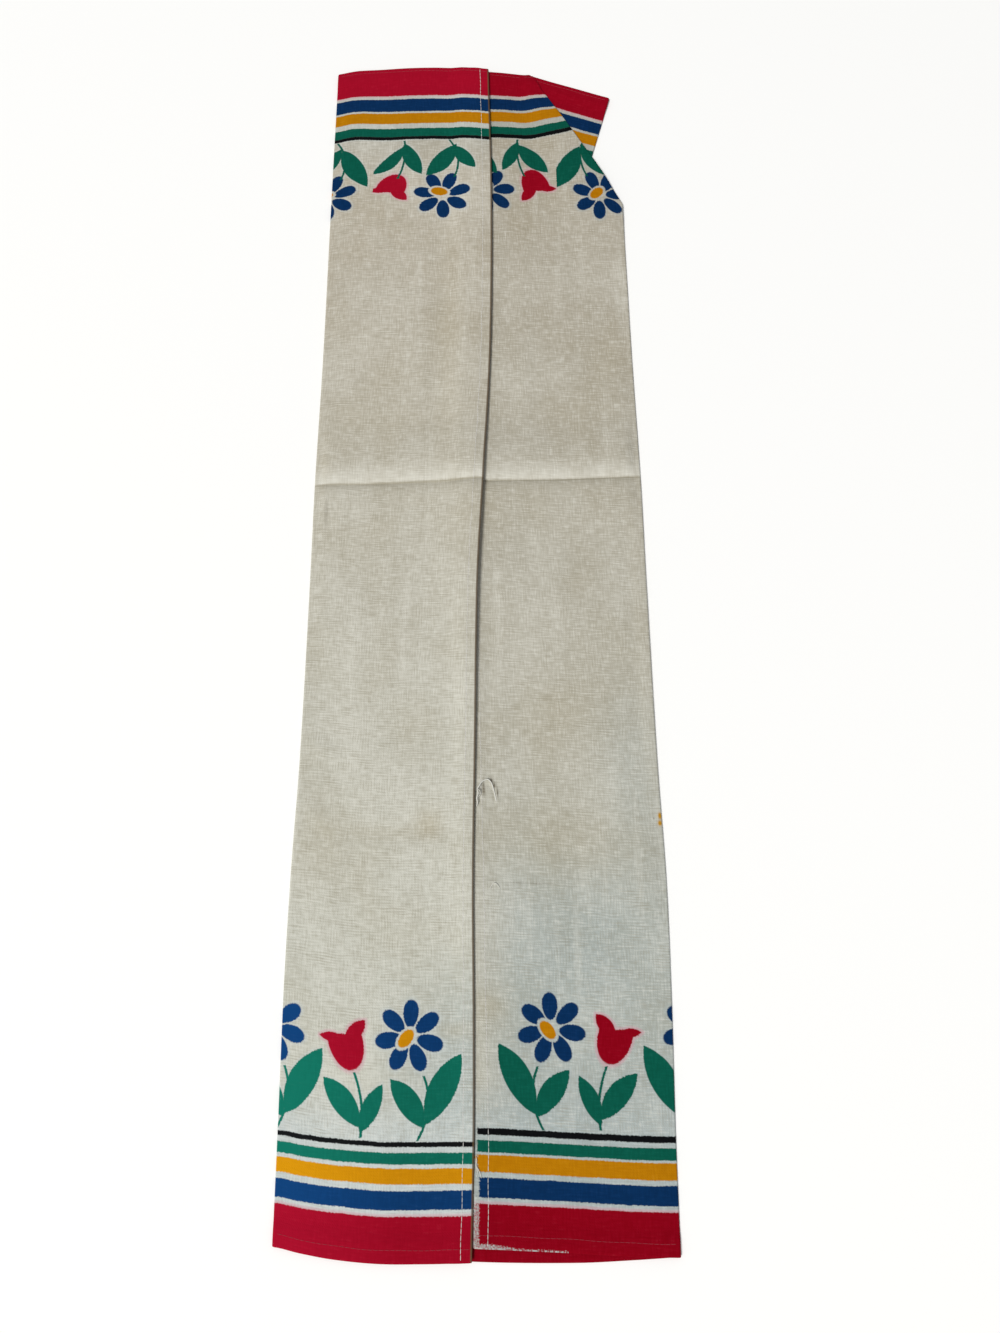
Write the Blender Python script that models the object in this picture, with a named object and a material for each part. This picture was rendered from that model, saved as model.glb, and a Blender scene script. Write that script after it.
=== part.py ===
"""Linen tea towel, hemmed all round, folded in three along its length.

The towel is one sheet.  It lies print side down with both long sides folded in over it, so the
print shows on the two flaps that meet along the middle.  At the far end the left flap laps over
the right one, and there the right corner is pleated under itself.

Metres, +Z up, +X to the right, +Y towards the far end.  The origin is the middle of the
footprint, on the surface that the towel lies on.

The flat cloth is measured by "across", from the free edge of the left flap, by "along", from the
middle of its length, and by "depth", from the print side.  It is scored along its folds while it
is flat, and each point is then folded over to its place.
"""
import math
from typing import NamedTuple

import bmesh
import bpy

# The cloth, and the space between two layers of it.
THICKNESS = 0.0010
LAYER_GAP = 0.0004
LENGTH = 0.780
LEFT_FOLD = 0.107
RIGHT_FOLD = 0.319
WIDTH = 0.430

# A fold's bend, measured at the middle of the cloth, and how many flats make it up.
PITCH = THICKNESS + LAYER_GAP
BEND_RADIUS = PITCH / 2
BEND_LENGTH = math.pi * BEND_RADIUS
BEND_FLATS = 4

# The left flap climbs over the edge of the right one, from a little past the near end on.
LAP_START = -0.362
LAP_RUN = 0.025
CLIMB_BEFORE_EDGE = 0.0150
CLIMB_RUN = 0.0125

# The free edge of the left flap stands a little open over the middle of the towel.
OPEN_HEIGHT = 0.0018
OPEN_CENTRE = -0.010
OPEN_HALF_LENGTH = 0.085
OPEN_HALF_WIDTH = 0.030

# A pressed crease runs across both flaps, which stand up a little on either side of it.
CREASE_PLACE = 0.060
CREASE_SLANT = 0.030
CREASE_HEIGHT = 0.0012
CREASE_CREST = 0.012
CREASE_REACH = 0.055
CREASE_END = 0.015

# The corner pleat: two bends, through flap and back together, that run from one tip.  The cloth
# beyond them turns about the tip, to lie under the rest.
TIP_X = 0.0398
TIP_Y = 0.3846
PLEAT_HEADING = math.radians(-61.3)
PLEAT_TURN = math.radians(17.5)
STACK = 2 * THICKNESS + LAYER_GAP
PLEAT_RADIUS = (STACK + LAYER_GAP) / 2
PLEAT_FLATS = 4

# How far from the tip the turned corner and the wedge between the bends reach, and over what
# distance the cloth above each of them sinks once it is past.
CORNER_REACH = 0.101
CORNER_FADE = 0.018
WEDGE_REACH = 0.124
WEDGE_FADE = 0.040

# Beside the upper bend the cloth stays up over what lies under it, and then slopes down.
SHOULDER = 0.003
SLOPE_ANGLE = 0.25
SLOPE_RUN = 0.008

# Enough steps for the two searches below to settle.
BEND_STEPS = 8
SPOT_STEPS = 12

# Scores that cross nearer than this share a point.
MERGE_DISTANCE = 1e-7

LINEN_COLOUR = (0.54, 0.50, 0.40, 1.0)
LINEN_ROUGHNESS = 0.9
SHARP_ANGLE = math.radians(30)


class Section(NamedTuple):
    """Where the folds and the free edges lie, at one place along the towel."""

    along: float
    left_fold: float
    left_edge: float
    right_edge: float
    right_fold: float


SECTIONS = (
    Section(-0.390, -0.1073, -0.0026, 0.0005, 0.1075),
    Section(-0.330, -0.1079, -0.0018, -0.0010, 0.1076),
    Section(-0.260, -0.1089, -0.0023, -0.0030, 0.1086),
    Section(-0.195, -0.1085, -0.0032, -0.0045, 0.1087),
    Section(-0.125, -0.1070, -0.0027, -0.0065, 0.1064),
    Section(-0.010, -0.1068, -0.0018, -0.0090, 0.1044),
    Section(0.060, -0.1071, 0.0014, -0.0100, 0.1036),
    Section(0.160, -0.1063, 0.0057, -0.0108, 0.1010),
    Section(0.280, -0.1066, 0.0062, -0.0120, 0.0988),
    Section(0.390, -0.1066, 0.0036, -0.0132, 0.0956),
)


class HemSpot(NamedTuple):
    """How far along the two hems lie, at one place across the flat cloth."""

    across: float
    near_hem: float
    far_hem: float


HEM_SPOTS = (
    HemSpot(0.000, -0.3902, 0.3877),
    HemSpot(0.025, -0.3909, 0.3906),
    HemSpot(0.050, -0.3908, 0.3909),
    HemSpot(0.074, -0.3888, 0.3896),
    HemSpot(0.092, -0.3859, 0.3887),
    HemSpot(0.107, -0.3830, 0.3854),
    HemSpot(0.130, -0.3847, 0.3852),
    HemSpot(0.165, -0.3875, 0.3859),
    HemSpot(0.213, -0.3904, 0.3854),
    HemSpot(0.265, -0.3909, 0.3826),
    HemSpot(0.295, -0.3896, 0.3816),
    HemSpot(0.319, -0.3882, 0.3810),
    HemSpot(0.345, -0.3874, 0.3819),
    HemSpot(0.380, -0.3857, 0.3836),
    HemSpot(0.405, -0.3847, 0.3868),
    HemSpot(0.430, -0.3835, 0.3882),
)


class Layer(NamedTuple):
    """One layer of the folded cloth, and the columns of SECTIONS that it lies between."""

    start: float
    end: float
    start_edge: str
    end_edge: str


LEFT_FLAP = Layer(0.0, LEFT_FOLD, "left_edge", "left_fold")
BACK = Layer(LEFT_FOLD, RIGHT_FOLD, "left_fold", "right_fold")
RIGHT_FLAP = Layer(RIGHT_FOLD, WIDTH, "right_fold", "right_edge")

# Where the flat cloth is scored so that it can bend, besides at its folds.
LAP_SCORE_STEP = 0.0045
LAP_SCORES = 8
ACROSS_SCORES = (
    0.050, 0.070, 0.090, 0.130, 0.160, 0.190, 0.213, 0.240, 0.265, 0.295, 0.340, 0.360, 0.385,
    0.408,
)
ALONG_SCORES = (
    -0.362, -0.349, -0.336, -0.300, -0.260, -0.220, -0.170, -0.125, -0.080, -0.040, -0.010,
    0.020, 0.120, 0.160, 0.200, 0.235,
)
FAR_SCORE_START = 0.258
FAR_SCORE_STEP = 0.0125
FAR_SCORES = 10
CREASE_SCORES = (-0.034, -0.012, -0.004, 0.0, 0.004, 0.012, 0.034)
SLOPE_SCORES = (-8.0, -12.0, -17.0, -22.0, -28.0, -36.0)


def between(low, high, share):
    """Mix two values."""
    return low + (high - low) * share


def ease(share):
    """Go smoothly from 0 to 1 as share does, and stay there."""
    share = min(max(share, 0.0), 1.0)
    return share * share * (3.0 - 2.0 * share)


def table_value(rows, key, column, place):
    """Read one column of a table at a place between its rows, on a smooth curve through them."""
    places = [getattr(row, key) for row in rows]
    values = [getattr(row, column) for row in rows]
    last = len(rows) - 1
    place = min(max(place, places[0]), places[last])
    low = max(i for i in range(last) if places[i] <= place)

    def slope(i):
        before, after = max(i - 1, 0), min(i + 1, last)
        return (values[after] - values[before]) / (places[after] - places[before])

    run = places[low + 1] - places[low]
    s = (place - places[low]) / run
    return (values[low] * (1 + 2 * s) * (1 - s) ** 2 + values[low + 1] * s * s * (3 - 2 * s)
            + run * s * (1 - s) * (slope(low) * (1 - s) - slope(low + 1) * s))


def section_at(along):
    """The folds and free edges at one place along the towel."""
    columns = [table_value(SECTIONS, "along", name, along) for name in Section._fields[1:]]
    return Section(along, *columns)


def lengthways(across, along):
    """The y of a point of the cloth, measured between its two hems."""
    near = table_value(HEM_SPOTS, "across", "near_hem", across)
    far = table_value(HEM_SPOTS, "across", "far_hem", across)
    return between(near, far, along / LENGTH + 0.5)


def crease_lift(section, x, y):
    """How far the flaps stand up beside the pressed crease."""
    away = abs(y - CREASE_PLACE - CREASE_SLANT * x)
    inwards = min(x - section.left_fold, section.right_fold - x) - PITCH
    lift = ease(away / CREASE_CREST) * (1.0 - ease(away / CREASE_REACH))
    return CREASE_HEIGHT * lift * ease(inwards / CREASE_END)


def lap_lift(section, x):
    """How far the left flap climbs to pass over the edge of the right one."""
    climb = (x - section.right_edge + CLIMB_BEFORE_EDGE) / CLIMB_RUN
    return PITCH * ease(climb) * ease((section.along - LAP_START) / LAP_RUN)


def open_lift(section, x):
    """How far the free edge of the left flap stands open."""
    inwards = (section.left_edge - x) / OPEN_HALF_WIDTH
    away = abs(section.along - OPEN_CENTRE) / OPEN_HALF_LENGTH
    return OPEN_HEIGHT * (1.0 - ease(inwards)) * (1.0 - ease(away))


def fold_lengthways(across, along, depth):
    """Fold the long sides in: give a point of the flat cloth its place before the pleat."""
    section = section_at(along)
    y = lengthways(across, along)
    left_centre = section.left_fold + PITCH / 2 + THICKNESS / 2
    right_centre = section.right_fold - PITCH / 2 - THICKNESS / 2
    half_bend = BEND_LENGTH / 2
    axis_height = THICKNESS / 2 + BEND_RADIUS
    radius = BEND_RADIUS + THICKNESS / 2 - depth
    flap_height = PITCH + THICKNESS - depth
    if across < LEFT_FOLD - half_bend:
        share = across / (LEFT_FOLD - half_bend)
        x = between(section.left_edge, left_centre, share)
        lift = crease_lift(section, x, y) + lap_lift(section, x) + open_lift(section, x)
        return x, y, flap_height + lift
    if across <= LEFT_FOLD + half_bend:
        turn = (across - LEFT_FOLD) / BEND_RADIUS + math.pi / 2
        return left_centre - radius * math.sin(turn), y, axis_height + radius * math.cos(turn)
    if across < RIGHT_FOLD - half_bend:
        share = (across - LEFT_FOLD - half_bend) / (RIGHT_FOLD - LEFT_FOLD - BEND_LENGTH)
        return between(left_centre, right_centre, share), y, depth
    if across <= RIGHT_FOLD + half_bend:
        turn = (across - RIGHT_FOLD) / BEND_RADIUS + math.pi / 2
        return right_centre + radius * math.sin(turn), y, axis_height - radius * math.cos(turn)
    share = (across - RIGHT_FOLD - half_bend) / (WIDTH - RIGHT_FOLD - half_bend)
    x = between(right_centre, section.right_edge, share)
    return x, y, flap_height + crease_lift(section, x, y)


def bend_turn(take_up):
    """The angle that each of the pleat's two bends turns through to take up that much cloth."""
    wanted = take_up / (2 * PLEAT_RADIUS)
    if wanted >= math.pi:
        return math.pi
    turn = (6 * wanted) ** (1 / 3)
    for _ in range(BEND_STEPS):
        turn -= (turn - math.sin(turn) - wanted) / (1 - math.cos(turn))
    return turn


def pleat_rise(reach):
    """How high the pleat carries the cloth beside its upper bend, at a distance from its tip."""
    full = 2 * PLEAT_RADIUS * (1 - math.cos(bend_turn(PLEAT_TURN * reach)))
    past_corner = ease((reach - CORNER_REACH) / CORNER_FADE)
    past_wedge = ease((reach - WEDGE_REACH) / WEDGE_FADE)
    return full - 2 * PLEAT_RADIUS * (past_corner + past_wedge)


def pleat_path(beyond, turn, straight):
    """Follow the cloth over both bends: how far it gets sideways and down, and how it leans.

    beyond is the length of cloth since the upper bend began, turn is the angle of each bend, and
    straight is the length of cloth between them.
    """
    bend = PLEAT_RADIUS * turn
    lean = min(beyond, bend) / PLEAT_RADIUS
    sideways = PLEAT_RADIUS * math.sin(lean)
    drop = PLEAT_RADIUS * (1 - math.cos(lean))
    run = min(max(beyond - bend, 0.0), straight)
    sideways += run * math.cos(lean)
    drop += run * math.sin(lean)
    left_over = beyond - bend - straight
    if left_over > 0.0:
        lean = turn - min(left_over, bend) / PLEAT_RADIUS
        sideways += PLEAT_RADIUS * (math.sin(turn) - math.sin(lean))
        drop += PLEAT_RADIUS * (math.cos(lean) - math.cos(turn))
        sideways += max(left_over - bend, 0.0)
    return sideways, drop, lean


def pleat(x, y, z):
    """Fold the far right corner under, on the two bends that run from the pleat's tip."""
    reach = math.hypot(x - TIP_X, y - TIP_Y)
    angle = math.atan2(y - TIP_Y, x - TIP_X) - PLEAT_HEADING
    angle = (angle + math.pi) % (2 * math.pi) - math.pi
    path = reach * angle
    take_up = PLEAT_TURN * reach
    turn = bend_turn(take_up)
    rise = pleat_rise(reach)
    start = -PLEAT_RADIUS * turn / 2
    if path <= start:
        flat_for = PLEAT_TURN / 2 * reach + SHOULDER
        slope = SLOPE_ANGLE * reach + SLOPE_RUN
        return x, y, z + rise * (1 - ease((-path - flat_for) / slope))
    straight = max(0.0, take_up / 2 - math.pi * PLEAT_RADIUS)
    sideways, drop, lean = pleat_path(path - start, turn, straight)
    out = z - STACK / 2
    heading = PLEAT_HEADING + (start + sideways + out * math.sin(lean)) / reach
    return (TIP_X + reach * math.cos(heading), TIP_Y + reach * math.sin(heading),
            STACK / 2 + rise - drop + out * math.cos(lean))


def cloth_spot(x, y, layer):
    """The place on the flat cloth, across and along, of a spot on one layer of the fold."""
    across, along = (layer.start + layer.end) / 2, 0.0
    for _ in range(SPOT_STEPS):
        near, far = lengthways(across, -LENGTH / 2), lengthways(across, LENGTH / 2)
        along = between(-LENGTH / 2, LENGTH / 2, (y - near) / (far - near))
        section = section_at(along)
        start, end = getattr(section, layer.start_edge), getattr(section, layer.end_edge)
        across = between(layer.start, layer.end, (x - start) / (end - start))
    return across, along


def score(cloth, start, end, inside=None):
    """Score the flat cloth along a straight line, in all of it or where inside() says."""
    faces = [face for face in cloth.faces if inside is None or inside(face.calc_center_median())]
    chosen = set(faces)
    edges = [edge for edge in cloth.edges if not chosen.isdisjoint(edge.link_faces)]
    verts = [vert for vert in cloth.verts if not chosen.isdisjoint(vert.link_faces)]
    side = (end[1] - start[1], start[0] - end[0], 0.0)
    bmesh.ops.bisect_plane(cloth, geom=faces + edges + verts, dist=MERGE_DISTANCE,
                           plane_co=(start[0], start[1], 0.0), plane_no=side)


def score_across(cloth, place):
    """Score the whole width at one place along."""
    score(cloth, (0.0, place), (WIDTH, place))


def score_along(cloth, place):
    """Score the whole length at one place across."""
    score(cloth, (place, -LENGTH / 2), (place, LENGTH / 2))


def score_crease(cloth, layer):
    """Score one flap along the pressed crease and beside it."""
    def inside(centre):
        return layer.start < centre.x < layer.end

    section = section_at(CREASE_PLACE)
    for step in CREASE_SCORES:
        ends = []
        for edge in (layer.start_edge, layer.end_edge):
            x = getattr(section, edge)
            ends.append(cloth_spot(x, CREASE_PLACE + CREASE_SLANT * x + step, layer))
        score(cloth, ends[0], ends[1], inside)


def score_pleat(cloth, layer):
    """Score one layer of the pleated corner: both bends, and the slope down from the pleat."""
    def inside(centre):
        return layer.start < centre.x < layer.end and centre.y > FAR_SCORE_START - FAR_SCORE_STEP

    def line(angle, offset, reach):
        heading = PLEAT_HEADING + angle
        shift_x, shift_y = -offset * math.sin(heading), offset * math.cos(heading)
        ends = []
        for distance in (0.0, reach):
            x = TIP_X + distance * math.cos(heading) + shift_x
            y = TIP_Y + distance * math.sin(heading) + shift_y
            ends.append(cloth_spot(x, y, layer))
        score(cloth, ends[0], ends[1], inside)

    bend = math.pi * PLEAT_RADIUS
    for angle in (0.0, PLEAT_TURN / 2):
        for flat in range(PLEAT_FLATS + 1):
            line(angle, bend * (flat / PLEAT_FLATS - 0.5), WEDGE_REACH)
    for angle in SLOPE_SCORES:
        line(math.radians(angle), 0.0, WEDGE_REACH)


def flat_cloth():
    """The flat sheet, closed all round and scored along its folds and creases."""
    cloth = bmesh.new()
    bmesh.ops.create_cube(cloth, size=1.0)
    for vert in cloth.verts:
        vert.co = ((vert.co.x + 0.5) * WIDTH, vert.co.y * LENGTH, (vert.co.z + 0.5) * THICKNESS)
    for fold in (LEFT_FOLD, RIGHT_FOLD):
        for flat in range(BEND_FLATS + 1):
            score_along(cloth, fold + BEND_LENGTH * (flat / BEND_FLATS - 0.5))
    for step in range(LAP_SCORES):
        score_along(cloth, (step + 1) * LAP_SCORE_STEP)
    for place in ACROSS_SCORES:
        score_along(cloth, place)
    for place in ALONG_SCORES:
        score_across(cloth, place)
    for step in range(FAR_SCORES):
        score_across(cloth, FAR_SCORE_START + step * FAR_SCORE_STEP)
    for layer in (LEFT_FLAP, RIGHT_FLAP):
        score_crease(cloth, layer)
    for layer in (BACK, RIGHT_FLAP):
        score_pleat(cloth, layer)
    return cloth


def folded_cloth():
    """The folded towel as one closed mesh."""
    cloth = flat_cloth()
    for vert in cloth.verts:
        across, along, depth = vert.co
        vert.co = pleat(*fold_lengthways(across, along, depth))
    bmesh.ops.triangulate(cloth, faces=cloth.faces)
    bmesh.ops.recalc_face_normals(cloth, faces=cloth.faces)
    mesh = bpy.data.meshes.new("tea_towel")
    cloth.to_mesh(mesh)
    cloth.free()
    return mesh


def linen():
    """Unbleached plain-woven linen."""
    material = bpy.data.materials.new("linen")
    material.use_nodes = True
    shader = material.node_tree.nodes["Principled BSDF"]
    shader.inputs["Base Color"].default_value = LINEN_COLOUR
    shader.inputs["Roughness"].default_value = LINEN_ROUGHNESS
    shader.inputs["Metallic"].default_value = 0.0
    return material


def main():
    """Clear the scene and lay the folded towel in it."""
    for item in list(bpy.data.objects):
        bpy.data.objects.remove(item, do_unlink=True)
    towel = bpy.data.objects.new("tea_towel", folded_cloth())
    towel.data.materials.append(linen())
    towel.data.shade_smooth()
    towel.data.set_sharp_from_angle(angle=SHARP_ANGLE)
    bpy.context.scene.collection.objects.link(towel)


main()
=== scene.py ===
"""Looks of the folded linen tea towel: its cloth, print, hem stitching and loose threads.

The towel is one sheet of plain-woven linen.  It lies print side down with both long sides folded
in over it.  The flat cloth is measured by "across", from the free edge of the left flap, and by
"along", from the middle of its length; "depth" goes from the print side to the reverse.
Sizes are in metres, except in the print, which is laid out in millimetres as a printer would.
"""

import logging
import math
from dataclasses import dataclass
from enum import Enum
from typing import Callable, NamedTuple, Sequence, Union

import bmesh
import bpy
import numpy as np
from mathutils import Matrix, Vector


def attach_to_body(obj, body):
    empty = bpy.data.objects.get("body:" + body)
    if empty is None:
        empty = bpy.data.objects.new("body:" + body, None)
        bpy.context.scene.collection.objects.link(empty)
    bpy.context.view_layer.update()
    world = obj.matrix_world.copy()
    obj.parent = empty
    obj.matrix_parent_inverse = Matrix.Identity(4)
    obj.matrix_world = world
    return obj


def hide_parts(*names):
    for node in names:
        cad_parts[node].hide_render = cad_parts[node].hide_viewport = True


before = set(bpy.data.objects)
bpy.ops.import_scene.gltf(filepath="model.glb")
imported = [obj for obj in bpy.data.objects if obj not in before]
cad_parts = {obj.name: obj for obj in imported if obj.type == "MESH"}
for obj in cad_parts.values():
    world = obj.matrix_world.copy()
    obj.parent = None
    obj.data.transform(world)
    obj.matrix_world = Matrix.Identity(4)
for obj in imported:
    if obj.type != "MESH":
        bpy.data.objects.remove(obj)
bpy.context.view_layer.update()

LOG = logging.getLogger("tea_towel")
BODY = "root"
NODE = "tea_towel"
MILLIMETRE = 0.001

Array = np.ndarray
Colour = tuple[float, float, float, float]
# A number for each quarter of the print, in the order of Quarter.
PerQuarter = tuple[float, float, float, float]


def stand(name: str, data: bpy.types.ID) -> bpy.types.Object:
    """Put a new object in the scene.

    Args:
        name: Its name.
        data: Its mesh, lamp or camera.

    Returns:
        The object.
    """
    thing = bpy.data.objects.new(name, data)
    bpy.context.scene.collection.objects.link(thing)
    return thing


def new_material(name: str) -> tuple[bpy.types.Material, bpy.types.ShaderNode]:
    """Make a material.

    Args:
        name: Its name.

    Returns:
        The material and its Principled shader.
    """
    material = bpy.data.materials.new(name)
    material.use_nodes = True
    return material, material.node_tree.nodes["Principled BSDF"]


# --- Sizes of the flat cloth, and where its folds and edges lie ---


class Section(NamedTuple):
    """Where the folds and the free edges lie, at one place along the towel."""

    along: float
    left_fold: float
    left_edge: float
    right_edge: float
    right_fold: float


SECTIONS = (
    Section(-0.390, -0.1073, -0.0026, -0.0009, 0.1075),
    Section(-0.330, -0.1079, -0.0018, -0.0010, 0.1076),
    Section(-0.260, -0.1089, -0.0023, -0.0030, 0.1086),
    Section(-0.195, -0.1085, -0.0032, -0.0045, 0.1087),
    Section(-0.125, -0.1070, -0.0027, -0.0065, 0.1064),
    Section(-0.010, -0.1068, -0.0018, -0.0090, 0.1044),
    Section(0.060, -0.1071, 0.0014, -0.0100, 0.1036),
    Section(0.160, -0.1063, 0.0057, -0.0108, 0.1010),
    Section(0.280, -0.1066, 0.0062, -0.0120, 0.0988),
    Section(0.390, -0.1066, 0.0036, -0.0132, 0.0956),
)


class HemSpot(NamedTuple):
    """How far along the two end hems lie, at one place across the flat cloth."""

    across: float
    near_hem: float
    far_hem: float


HEM_SPOTS = (
    HemSpot(0.000, -0.3902, 0.3877),
    HemSpot(0.025, -0.3909, 0.3906),
    HemSpot(0.050, -0.3908, 0.3909),
    HemSpot(0.074, -0.3888, 0.3896),
    HemSpot(0.092, -0.3859, 0.3887),
    HemSpot(0.107, -0.3830, 0.3854),
    HemSpot(0.130, -0.3847, 0.3852),
    HemSpot(0.165, -0.3875, 0.3859),
    HemSpot(0.213, -0.3904, 0.3854),
    HemSpot(0.265, -0.3909, 0.3826),
    HemSpot(0.295, -0.3896, 0.3823),
    HemSpot(0.319, -0.3882, 0.3820),
    HemSpot(0.345, -0.3874, 0.3830),
    HemSpot(0.380, -0.3857, 0.3843),
    HemSpot(0.405, -0.3847, 0.3868),
    HemSpot(0.430, -0.3835, 0.3882),
)


class FoldPuff(NamedTuple):
    """How far the cloth stands open inside the two folds, at one place along the towel."""

    along: float
    left: float
    right: float


FOLD_PUFFS = (
    FoldPuff(-0.390, 0.0004, 0.0003),
    FoldPuff(-0.340, 0.0009, 0.0004),
    FoldPuff(-0.270, 0.0007, 0.0007),
    FoldPuff(-0.190, 0.0015, 0.0005),
    FoldPuff(-0.120, 0.0012, 0.0009),
    FoldPuff(-0.040, 0.0007, 0.0011),
    FoldPuff(0.040, 0.0012, 0.0008),
    FoldPuff(0.110, 0.0008, 0.0006),
    FoldPuff(0.190, 0.0012, 0.0007),
    FoldPuff(0.260, 0.0009, 0.0003),
    FoldPuff(0.390, 0.0004, 0.0001),
)


class EdgeLift(NamedTuple):
    """How far the left flap's free edge stands up off what it lies on."""

    along: float
    lift: float


EDGE_LIFTS = (
    EdgeLift(-0.390, 0.0002),
    EdgeLift(-0.345, 0.0004),
    EdgeLift(-0.280, 0.0008),
    EdgeLift(-0.190, 0.0012),
    EdgeLift(-0.120, 0.0016),
    EdgeLift(-0.050, 0.0030),
    EdgeLift(0.000, 0.0036),
    EdgeLift(0.050, 0.0032),
    EdgeLift(0.090, 0.0020),
    EdgeLift(0.160, 0.0016),
    EdgeLift(0.280, 0.0014),
    EdgeLift(0.390, 0.0010),
)


class Ripple(NamedTuple):
    """One of the long soft waves that unpressed linen keeps."""

    wavelength: float
    heading: float
    phase: float
    height: float


RIPPLES = (
    Ripple(0.160, 82.0, 2.2, 0.00028),
    Ripple(0.105, 24.0, 0.3, 0.00022),
    Ripple(0.071, 68.0, 1.7, 0.00014),
    Ripple(0.052, -38.0, 4.1, 0.00010),
    Ripple(0.036, 12.0, 5.2, 0.00006),
)


class Ridge(NamedTuple):
    """A soft ridge, or with a negative height a trough, that lies in the flaps."""

    x: float
    y: float
    heading: float
    half_length: float
    half_width: float
    height: float


RIDGES = (
    Ridge(-0.0245, 0.160, 91.0, 0.090, 0.0090, -0.00045),
    Ridge(-0.0100, 0.170, 90.0, 0.100, 0.0055, 0.00040),
    Ridge(-0.0430, 0.190, 92.0, 0.070, 0.0080, 0.00035),
    Ridge(0.0280, 0.160, 90.0, 0.070, 0.0055, 0.00040),
    Ridge(0.0125, -0.100, 90.0, 0.045, 0.0045, 0.00040),
    Ridge(0.0125, -0.215, 90.0, 0.022, 0.0045, 0.00035),
    Ridge(0.0965, -0.060, 92.0, 0.085, 0.0040, -0.00075),
    Ridge(-0.0960, 0.034, 90.0, 0.012, 0.0028, -0.00060),
    Ridge(-0.0930, -0.118, -33.0, 0.014, 0.0035, 0.00060),
    Ridge(-0.0930, -0.160, -40.0, 0.015, 0.0035, 0.00060),
    Ridge(-0.0290, -0.162, 60.0, 0.012, 0.0060, -0.00070),
    Ridge(-0.0560, -0.119, -3.0, 0.050, 0.0050, 0.00035),
    Ridge(-0.0560, -0.166, 0.0, 0.050, 0.0050, -0.00045),
    Ridge(-0.0560, -0.176, 0.0, 0.050, 0.0055, 0.00035),
    Ridge(0.0430, -0.185, -72.0, 0.012, 0.0028, 0.00045),
    Ridge(0.0690, -0.226, 64.0, 0.028, 0.0050, 0.00045),
    Ridge(0.0560, -0.198, 4.0, 0.030, 0.0022, 0.00025),
)


def between(low: float, high: float, share: float) -> float:
    """Mix two values."""
    return low + (high - low) * share


def ease(share: Array) -> Array:
    """Go smoothly from 0 to 1 as share does, and stay there."""
    share = np.clip(share, 0.0, 1.0)
    return share * share * (3.0 - 2.0 * share)


def cubic(start: Array, end: Array, start_slope: Array, end_slope: Array, share: Array) -> Array:
    """Go from one value to the next on a smooth curve.

    Args:
        start: The values where share is 0.
        end: The values where it is 1.
        start_slope: How fast the curve grows at its start, for each unit of share.
        end_slope: How fast it grows at its end.
        share: How far along it each place is.

    Returns:
        The curve's values.
    """
    left = 1 - share
    return (start * (1 + 2 * share) * left ** 2 + end * share ** 2 * (3 - 2 * share)
            + share * left * (start_slope * left - end_slope * share))


class SmoothTable:
    """Reads the columns of a table on smooth curves through its rows."""

    def __init__(self, rows: Sequence[NamedTuple], key: str) -> None:
        """Keep the rows' columns as arrays.

        Args:
            rows: The table, in the order of its key column.
            key: The name of the column that it is read by.
        """
        self.places = np.array([getattr(row, key) for row in rows])
        self.columns = {
            name: np.array([getattr(row, name) for row in rows]) for name in rows[0]._fields
        }

    def read(self, column: str, place: Array) -> Array:
        """Read one column.

        Args:
            column: Its name.
            place: Values of the key column.

        Returns:
            The column's values there.
        """
        values, places = self.columns[column], self.places
        last = len(places) - 1
        before = np.maximum(np.arange(last + 1) - 1, 0)
        after = np.minimum(np.arange(last + 1) + 1, last)
        slopes = (values[after] - values[before]) / (places[after] - places[before])
        place = np.clip(place, places[0], places[last])
        low = np.clip(np.searchsorted(places, place, side="right") - 1, 0, last - 1)
        run = places[low + 1] - places[low]
        share = (place - places[low]) / run
        return cubic(values[low], values[low + 1], slopes[low] * run, slopes[low + 1] * run, share)


@dataclass(frozen=True)
class Cut:
    """The flat cloth, hemmed: its size, its thickness and where it folds."""

    width: float = 0.430
    length: float = 0.780
    left_fold: float = 0.107
    right_fold: float = 0.319
    thickness: float = 0.00045
    hem_width: float = 0.006
    hem_extra: float = 0.0006
    hem_step: float = 0.0009

    def thickness_at(self, across: Array, along: Array) -> Array:
        """The cloth's thickness, which the turned hems add to.

        Args:
            across: Places across the flat cloth.
            along: Places along it.

        Returns:
            The thickness at each place.
        """
        side = np.minimum(across, self.width - across)
        end = self.length / 2 - np.abs(along)
        inward = np.minimum(side, end)
        step = ease((inward - self.hem_width) / self.hem_step)
        return self.thickness + self.hem_extra * (1 - step)


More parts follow.
